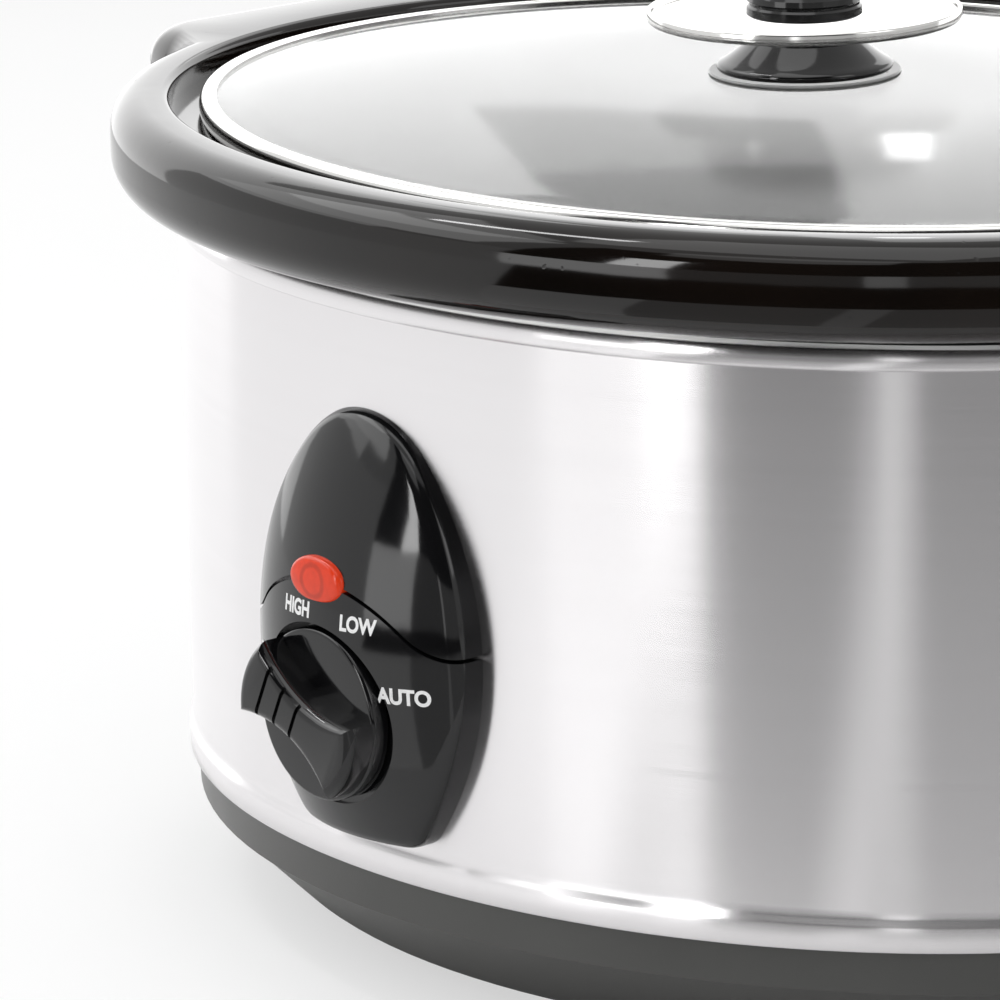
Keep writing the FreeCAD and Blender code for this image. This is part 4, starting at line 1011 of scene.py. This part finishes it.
class COOKER_OT_panel(bpy.types.Operator):
    """Glossy egg-shaped panel in two mouldings with a wavy joint, and its lamp lens"""

    bl_idname = "cooker.panel"
    bl_label = "Control panel"

    count = 240
    front = -150 * MM

    def egg(self, shape, name):
        """The whole egg as one closed mesh."""
        panel = shape.panel
        edge = panel.edge
        arc = turns(0, 90, 6)
        rims = [shape.outline(edge * (1 - math.cos(a)), self.count) for a in arc]
        middle = shape.level + panel.widest

        def ring(points, back):
            return through(points, lambda x, z: Vector((x, back(x, z), z)))

        def behind(x, z):
            return shape.wall(x) + 0.3 * MM

        def shrunk(points, share):
            return [(x * share, middle + (z - middle) * share) for x, z in points]

        wall = Wall(name, self.count, ring(rims[0], behind))
        for rim, a in zip(rims, arc):
            sink = edge * (1 - math.sin(a))
            wall.pull(ring(rim, lambda x, z, sink=sink: shape.bulge(x, z) + sink))
        wall.pull(*[ring(shrunk(rims[-1], 1 - n / 24), shape.bulge) for n in range(1, 24)])
        wall.cap()
        wall.pick_open()
        wall.pull(*[ring(shrunk(rims[0], 1 - n / 4), behind) for n in range(1, 4)])
        wall.cap()
        return wall.done()

    def below(self, shape, name, shift):
        """Everything below the joint, as a block that reaches through the panel."""
        steps = 96
        side = 40 * MM
        under = shape.level - 5 * MM
        tops = [(-side + 2 * side * n / steps) for n in range(steps + 1)]
        points = [*[(x, shape.joint(x, shift)) for x in tops], (side, under), (-side, under)]

        def line(y):
            return through(points, lambda x, z: Vector((x, y, z)))

        tool = Wall(name, len(points), line(-90 * MM))
        bpy.ops.mesh.edge_face_add()
        bpy.ops.mesh.extrude_region_move()
        tool.put(line(self.front))
        return tool.done()

    def execute(self, context):
        panel = context.scene.cooker_panel
        shape = PanelShape(panel)
        gloss = gloss_plastic("panel_gloss_black", panel.plastic, 0.085)
        gap = panel.gap / 2
        for name, node, operation, shift in (
            ("panel_upper_piece", "control_panel_upper", "DIFFERENCE", gap),
            ("panel_lower_piece", "control_panel_lower", "INTERSECT", -gap),
        ):
            piece = self.egg(shape, name)
            cut_with(piece, self.below(shape, "joint_tool", shift), operation)
            if operation == "INTERSECT":
                middle = (SELECTOR_LOW + SELECTOR_HIGH) / 2
                recess, bore = SELECTOR_HIGH.x + 1.2 * MM, SHAFT_HIGH.x + 0.25 * MM
                cut_with(piece, peg(recess, middle.z, SELECTOR_HIGH.y + 0.6 * MM, self.front, 128))
                cut_with(piece, peg(bore, middle.z, -85 * MM, self.front - 1 * MM, 48))
            dress(piece, gloss, "base", "panel_black", node, angle=30.0)
        self.lens(panel)
        return {"FINISHED"}

    def lens(self, panel):
        """The red lens of the lamp, which lies across the joint."""
        centre = (LENS_LOW + LENS_HIGH) / 2
        long, short = LENS_HIGH.x, LENS_HIGH.z - centre.z
        front = LENS_LOW.y
        back, bend_at = 5.0 * MM, 1.6 * MM
        profile = [(-0.1 * MM, back), (0.0, 4.6 * MM), (0.0, bend_at)]
        profile += [(-1.4 * MM * (1 - math.cos(a)), bend_at - 1.3 * MM * math.sin(a))
                    for a in turns(15, 90, 5)]
        profile += [(-2.4 * MM, 0.12 * MM), (-3.4 * MM, 0.02 * MM), (-4.2 * MM, 0.0)]

        def line(out, deep):
            flat = oval_line(long + out, max(short + out, 0.4 * MM), 0.0)

            def place(turn):
                point = flat(turn)
                return Vector((point.x, front + deep, centre.z + point.y))

            return place

        wall = Wall.closed("lamp_lens_piece", 96, line(-3.0 * MM, back))
        wall.pull(*[line(*point) for point in profile])
        wall.cap()
        red = lamp_lens("lens_red", panel.lens, (centre.x, front, centre.z))
        dress(wall.done(), red, "base", "lens_red", "indicator_lens")


class COOKER_OT_labels(bpy.types.Operator):
    """Printed words of the dial"""

    bl_idname = "cooker.labels"
    bl_label = "Dial words"

    # Each word with its place across and above the shell's lower edge, in millimetres.
    words = (("HIGH", -5.3, 55.3), ("LOW", 11.4, 54.4), ("AUTO", 20.8, 41.5), ("OFF", -20.4, 42.7))
    capital_share = 0.7
    narrow = 0.83
    bold = 0.16 * MM
    proud = 0.05 * MM

    def execute(self, context):
        panel = context.scene.cooker_panel
        shape = PanelShape(panel)
        ink = printed("dial_white_ink", panel.label)
        for word, x, z in self.words:
            text = added(bpy.ops.object.text_add).data
            text.body = word
            text.align_x = "CENTER"
            text.align_y = "CENTER"
            text.size = panel.label_height / self.capital_share
            text.offset = self.bold
            text.resolution_u = 6
            bpy.ops.object.convert(target="MESH")
            piece = context.object
            piece.name = f"dial_word_{word.lower()}"
            piece.data.name = piece.name
            for point in piece.data.vertices:
                across = x * MM + point.co.x * self.narrow
                up = SHELL_LOW.z + z * MM + point.co.y
                point.co = (across, shape.bulge(across, up) - self.proud, up)
            bpy.ops.object.mode_set(mode="EDIT")
            bpy.ops.mesh.select_all(action="SELECT")
            bpy.ops.mesh.remove_doubles(threshold=1e-7)
            bpy.ops.object.mode_set(mode="OBJECT")
            dress(piece, ink, "base", "panel_black")
        return {"FINISHED"}


class COOKER_OT_selector(bpy.types.Operator):
    """Selector knob: round skirt with a waisted, grooved grip bar, turned to its first setting"""

    bl_idname = "cooker.selector"
    bl_label = "Selector knob"

    off_angle = math.radians(155.0)
    skirt = 4.0 * MM
    bar_end, bar_waist, bar_inset, bar_low = 8.4 * MM, 4.6 * MM, 0.3 * MM, 2.0 * MM
    crest = 2.4 * MM
    grooves = (-0.6 * MM, 4.4 * MM, 9.4 * MM)
    groove_half = Vector((0.45 * MM, 12.0 * MM, 0.9 * MM))

    def bar_line(self, radius, end, waist, count):
        """Outline of the bar: two round ends joined by two hollow sides."""
        reach = math.sqrt(radius * radius - end * end)
        rise = end - waist
        scoop = (reach * reach + rise * rise) / (2 * rise)
        cap = math.asin(end / radius)
        sweep = math.asin(reach / scoop)
        points = []
        each = count // 4
        for middle, side in ((0.0, 1), (math.pi, -1)):
            for n in range(each):
                angle = middle - cap + 2 * cap * n / each
                points.append((radius * math.cos(angle), radius * math.sin(angle)))
            for n in range(each):
                angle = side * (sweep - 2 * sweep * n / each)
                points.append((scoop * math.sin(angle), side * (waist + scoop - scoop * math.cos(angle))))
        return points

    def execute(self, context):
        panel = context.scene.cooker_panel
        radius = SELECTOR_HIGH.x
        height = SELECTOR_HIGH.y - SELECTOR_LOW.y
        edge, ease = 0.9 * MM, 0.4 * MM
        low = bend(radius - ease, ease, ease, -90, 0, 3)
        rim = bend(radius - edge, self.skirt - edge, edge, 0, 90, 6)
        disc = Wall.closed("selector_piece", 144, round_line(radius * 0.4, 0.0))
        disc.pull(*[round_line(r, z) for r, z in [*low, *rim, (radius * 0.5, self.skirt)]])
        disc.cap()
        knob = disc.done()

        count = 160
        crest = self.crest

        def line(inset, z):
            reach = radius - self.bar_inset - inset
            points = self.bar_line(reach, self.bar_end - inset, self.bar_waist - inset, count)
            return through(points, lambda x, y: Vector((x, y, z)))

        bar = Wall("bar_tool", count, line(0.0, self.bar_low))
        bpy.ops.mesh.edge_face_add()
        bar.pick_open()
        side = height - crest
        bar.pull(*[line(crest * (1 - math.cos(a)), side + crest * math.sin(a)) for a in turns(0, 90, 7)])
        bpy.ops.mesh.edge_face_add()
        cut_with(knob, bar.done(), "UNION")
        for place in self.grooves:
            middle = Vector((place, 0.0, height))
            cut_with(knob, block(middle - self.groove_half, middle + self.groove_half))
        middle = (SELECTOR_LOW.z + SELECTOR_HIGH.z) / 2
        stand = Matrix.Translation((0, SELECTOR_HIGH.y, middle)) @ Matrix.Rotation(math.pi / 2, 4, "X")
        knob.data.transform(stand @ Matrix.Rotation(self.off_angle, 4, "Z"))
        black = gloss_plastic("selector_gloss_black", panel.plastic, 0.075)
        dress(knob, black, "selector", "selector_black", "selector_knob", angle=32.0)
        return {"FINISHED"}


class COOKER_OT_fittings(bpy.types.Operator):
    """Base, feet, grips, well, heater, switch, wiring and fasteners, smoothed from the packed nodes"""

    bl_idname = "cooker.fittings"
    bl_label = "Base and fittings"

    def execute(self, context):
        body = context.scene.cooker_body
        zinc = sheet_metal("zinc_plate", (0.62, 0.62, 0.60), 0.34, 900.0)
        well = sheet_metal("well_sheet", (0.72, 0.72, 0.71), 0.36)
        rubber = soft_rubber("foot_rubber", (0.025, 0.025, 0.025))
        grip = gloss_plastic("grip_gloss_black", (0.016, 0.016, 0.016), 0.16)
        fired = glazed("fired_ceramic", (0.80, 0.77, 0.70), (0.74, 0.70, 0.62), 0.45)
        lead = soft_rubber("lead_sleeve", (0.66, 0.66, 0.63), 0.5)
        screws = ("switch_screws", "panel_screws", "handle_screws")
        hidden = ("lid_screw", "lid_washer")
        finishes = (
            (satin_plastic("base_satin_plastic", body.base, 0.33), "base_pan"),
            (rubber, "foot_front_left", "foot_front_right", "foot_rear_left", "foot_rear_right"),
            (well, "heating_well", "heat_shield"),
            (grip, "side_handle_left", "side_handle_right"),
            (satin_plastic("bushing_satin_plastic", (0.02, 0.02, 0.02)), "cord_bushing"),
            (woven_tape("heater_tape", (0.70, 0.66, 0.56), 160.0), "heater_band"),
            (felted("mineral_fibre", (0.82, 0.80, 0.72)), "insulation_wrap"),
            (satin_plastic("switch_plastic", (0.52, 0.47, 0.38), 0.5), "rotary_switch"),
            (zinc, "switch_shaft", *screws, "tie_stud", "tie_washer", "tie_nut", *hidden),
            (fired, "terminal_block", "thermal_fuse"),
            (lead, "internal_leads"),
            (clear_glass("lamp_bulb_glass", (0.95, 0.82, 0.68), 0.05), "indicator_lamp"),
        )
        for material, *nodes in finishes:
            for node in nodes:
                piece = smooth_copy(node, material)
                piece.visible_glossy = node not in hidden
        return {"FINISHED"}


def towards(azimuth, elevation):
    """Direction at an angle round from the front and an angle up."""
    level = math.cos(elevation)
    return Vector((math.sin(azimuth) * level, -math.cos(azimuth) * level, math.sin(elevation)))


class COOKER_OT_studio(bpy.types.Operator):
    """Pale floor, soft light and the camera"""

    bl_idname = "cooker.studio"
    bl_label = "Studio"

    wall_reach = 1.2
    card_lift = 0.2 * MM

    # Cards that only glossy faces see: start and end angle round from the front in degrees, lower and
    # upper edge, brightness. One that lies on the floor has its near and far reach for edges.
    walls = (
        ("left_wall", -78, -14, 0.0, 0.6, 0.95),
        ("left_high_wall", -78, -22, 0.7, 1.5, 2.6),
        ("front_wall", -14, 9.5, 0.0, 0.34, 3.0),
        ("grey_wall", 9.5, 37, 0.0, 0.34, 0.36),
        ("strip_wall", 37, 43, 0.0, 0.34, 1.7),
        ("right_wall", 43, 84, 0.0, 0.34, 0.5),
        ("streak_wall", 1, 9.5, 0.34, 0.8, 9.0),
        ("dark_high_wall", 1, 9.5, 0.8, 1.5, 0.03),
        ("dark_left_wall", -14, 1, 0.34, 1.5, 0.03),
        ("dark_wall", 9.5, 84, 0.34, 1.5, 0.03),
        ("back_wall", -200, -78, 0.0, 0.5, 2.0),
        ("back_left_wall", -125, -78, 0.5, 1.0, 2.0),
        ("back_middle_wall", -133, -125, 0.5, 0.68, 1.3),
        ("back_right_wall", -160, -133, 0.5, 1.6, 2.0),
    )
    floors = (
        ("left_floor", -200, -12, 0.2, 1.2, 1.05),
        ("front_floor", -12, 9.5, 0.2, 0.56, 1.15),
        ("grey_floor", 9.5, 37, 0.2, 0.56, 0.52),
        ("strip_floor", 37, 43, 0.2, 0.56, 0.95),
        ("right_floor", 43, 84, 0.2, 0.56, 0.52),
        ("dark_floor", -12, 84, 0.56, 1.2, 0.02),
    )

    def card(self, name, start, end, near, far, tone, upright):
        """A card on the floor, or up a wall, seen in reflections only."""
        card = added(bpy.ops.mesh.primitive_grid_add, x_subdivisions=24, y_subdivisions=1, size=2.0)
        card.name = f"{name}_card"
        for point in card.data.vertices:
            angle = math.radians(start + (end - start) * (point.co.x + 1) / 2)
            edge = far if point.co.y > 0 else near
            reach, height = (self.wall_reach, edge) if upright else (edge, 0.0)
            point.co = (reach * math.sin(angle), -reach * math.cos(angle), height + self.card_lift)
        finish = Finish(f"{name}_paper", base_color=(0, 0, 0), roughness=1.0, specular_ior_level=0.0)
        finish.set("Emission_Color", (1, 1, 1))
        finish.set("Emission_Strength", tone)
        card.data.materials.append(finish.material)
        for kind in ("camera", "diffuse", "transmission", "shadow"):
            setattr(card, f"visible_{kind}", False)

    def softbox(self, name, azimuth, elevation, distance, size, power, aim=(0.0, 0.0, 0.09), roll=0.0):
        """An area light at an angle round from the front, turned to what it lights."""
        back = towards(math.radians(azimuth), math.radians(elevation))
        light = added(bpy.ops.object.light_add, type="AREA", location=Vector(aim) + back * distance)
        light.name = name
        turn = back.to_track_quat("Z", "Y") @ Quaternion((0.0, 0.0, 1.0), math.radians(roll))
        light.rotation_euler = turn.to_euler()
        light.data.shape = "RECTANGLE"
        light.data.size, light.data.size_y = size
        light.data.energy = power

    def execute(self, context):
        studio = context.scene.cooker_studio
        floor = added(bpy.ops.mesh.primitive_plane_add, size=12.0, location=(0, 0, -0.5 * MM))
        floor.name = "studio_floor"
        floor.data.materials.append(studio_floor("floor_paper", studio.floor, studio.lift))

        world = bpy.data.worlds.new("studio_white")
        world.use_nodes = True
        context.scene.world = world
        world.node_tree.nodes.clear()
        nodes = Nodes(world.node_tree)
        strength = studio.ambient
        levels = {"Is Camera Ray": 1.0, "Is Transmission Ray": 1.0, "Is Glossy Ray": studio.mirrored}
        for kind, level in levels.items():
            strength = nodes.add("ShaderNodeLightPath", out=kind) * (level - studio.ambient) + strength
        light = nodes.add("ShaderNodeBackground", None, {"Color": (1, 1, 1), "Strength": strength})
        nodes.add("ShaderNodeOutputWorld", None, {"Surface": light})

        for settings in self.walls:
            self.card(*settings, upright=True)
        for settings in self.floors:
            self.card(*settings, upright=False)
        self.softbox("key_softbox", -62, 40, 1.5, (1.2, 1.0), 5.0)
        self.softbox("rim_strip", -61, 59, 1.5, (0.5, 0.1), 2.2, (0.0, 0.0, 0.16), 57.0)
        self.softbox("far_window", -135.1, 20.3, 1.1, (0.022, 0.09), 0.018, (0.0, 0.0, 0.17))
        self.softbox("top_softbox", 10, 80, 1.5, (1.2, 1.0), 5.0)
        self.softbox("front_softbox", 20, 40, 1.6, (0.8, 0.8), 2.0)
        self.softbox("right_softbox", 104, 30, 1.6, (0.6, 0.8), 2.2)

        back = towards(studio.azimuth, studio.elevation)
        right = Vector((0, 0, 1)).cross(back).normalized()
        up = back.cross(right)
        turn, lean = math.cos(studio.roll), math.sin(studio.roll)
        axes = Matrix((right * turn + up * lean, up * turn - right * lean, back)).transposed()
        camera = added(bpy.ops.object.camera_add)
        camera.name = "photo_camera"
        place = Vector(studio.target) + back * studio.distance
        camera.matrix_world = Matrix.Translation(place) @ axes.to_4x4()
        camera.data.sensor_width = 36.0
        camera.data.lens = studio.lens
        camera.data.clip_end = 20.0
        context.scene.camera = camera
        context.scene.view_settings.view_transform = "Standard"
        return {"FINISHED"}


class COOKER_PT_sidebar(bpy.types.Panel):
    """Pieces and settings of the slow cooker"""

    bl_idname = "COOKER_PT_sidebar"
    bl_label = "Slow Cooker"
    bl_space_type = "VIEW_3D"
    bl_region_type = "UI"
    bl_category = "Slow Cooker"

    def draw(self, context):
        for operator in OPERATORS:
            self.layout.operator(operator.bl_idname)
        for name, group in SETTINGS.items():
            box = self.layout.box()
            box.label(text=group.__doc__)
            for field in group.__annotations__:
                box.prop(getattr(context.scene, name), field)


SETTINGS = {
    "cooker_body": BodySettings,
    "cooker_crock": CrockSettings,
    "cooker_lid": LidSettings,
    "cooker_panel": PanelSettings,
    "cooker_studio": StudioSettings,
}
OPERATORS = (
    COOKER_OT_body,
    COOKER_OT_crock,
    COOKER_OT_lid,
    COOKER_OT_lid_knob,
    COOKER_OT_panel,
    COOKER_OT_labels,
    COOKER_OT_selector,
    COOKER_OT_fittings,
    COOKER_OT_studio,
)


def register():
    for name, group in SETTINGS.items():
        bpy.utils.register_class(group)
        setattr(bpy.types.Scene, name, PointerProperty(type=group))
    for operator in OPERATORS:
        bpy.utils.register_class(operator)
    bpy.utils.register_class(COOKER_PT_sidebar)


def unregister():
    bpy.utils.unregister_class(COOKER_PT_sidebar)
    for operator in reversed(OPERATORS):
        bpy.utils.unregister_class(operator)
    for name, group in SETTINGS.items():
        delattr(bpy.types.Scene, name)
        bpy.utils.unregister_class(group)


def main():
    register()
    bpy.ops.cooker.body()
    bpy.ops.cooker.crock()
    bpy.ops.cooker.lid()
    bpy.ops.cooker.lid_knob()
    bpy.ops.cooker.panel()
    bpy.ops.cooker.labels()
    bpy.ops.cooker.selector()
    bpy.ops.cooker.fittings()
    bpy.ops.cooker.studio()


if __name__ == "__main__":
    main()
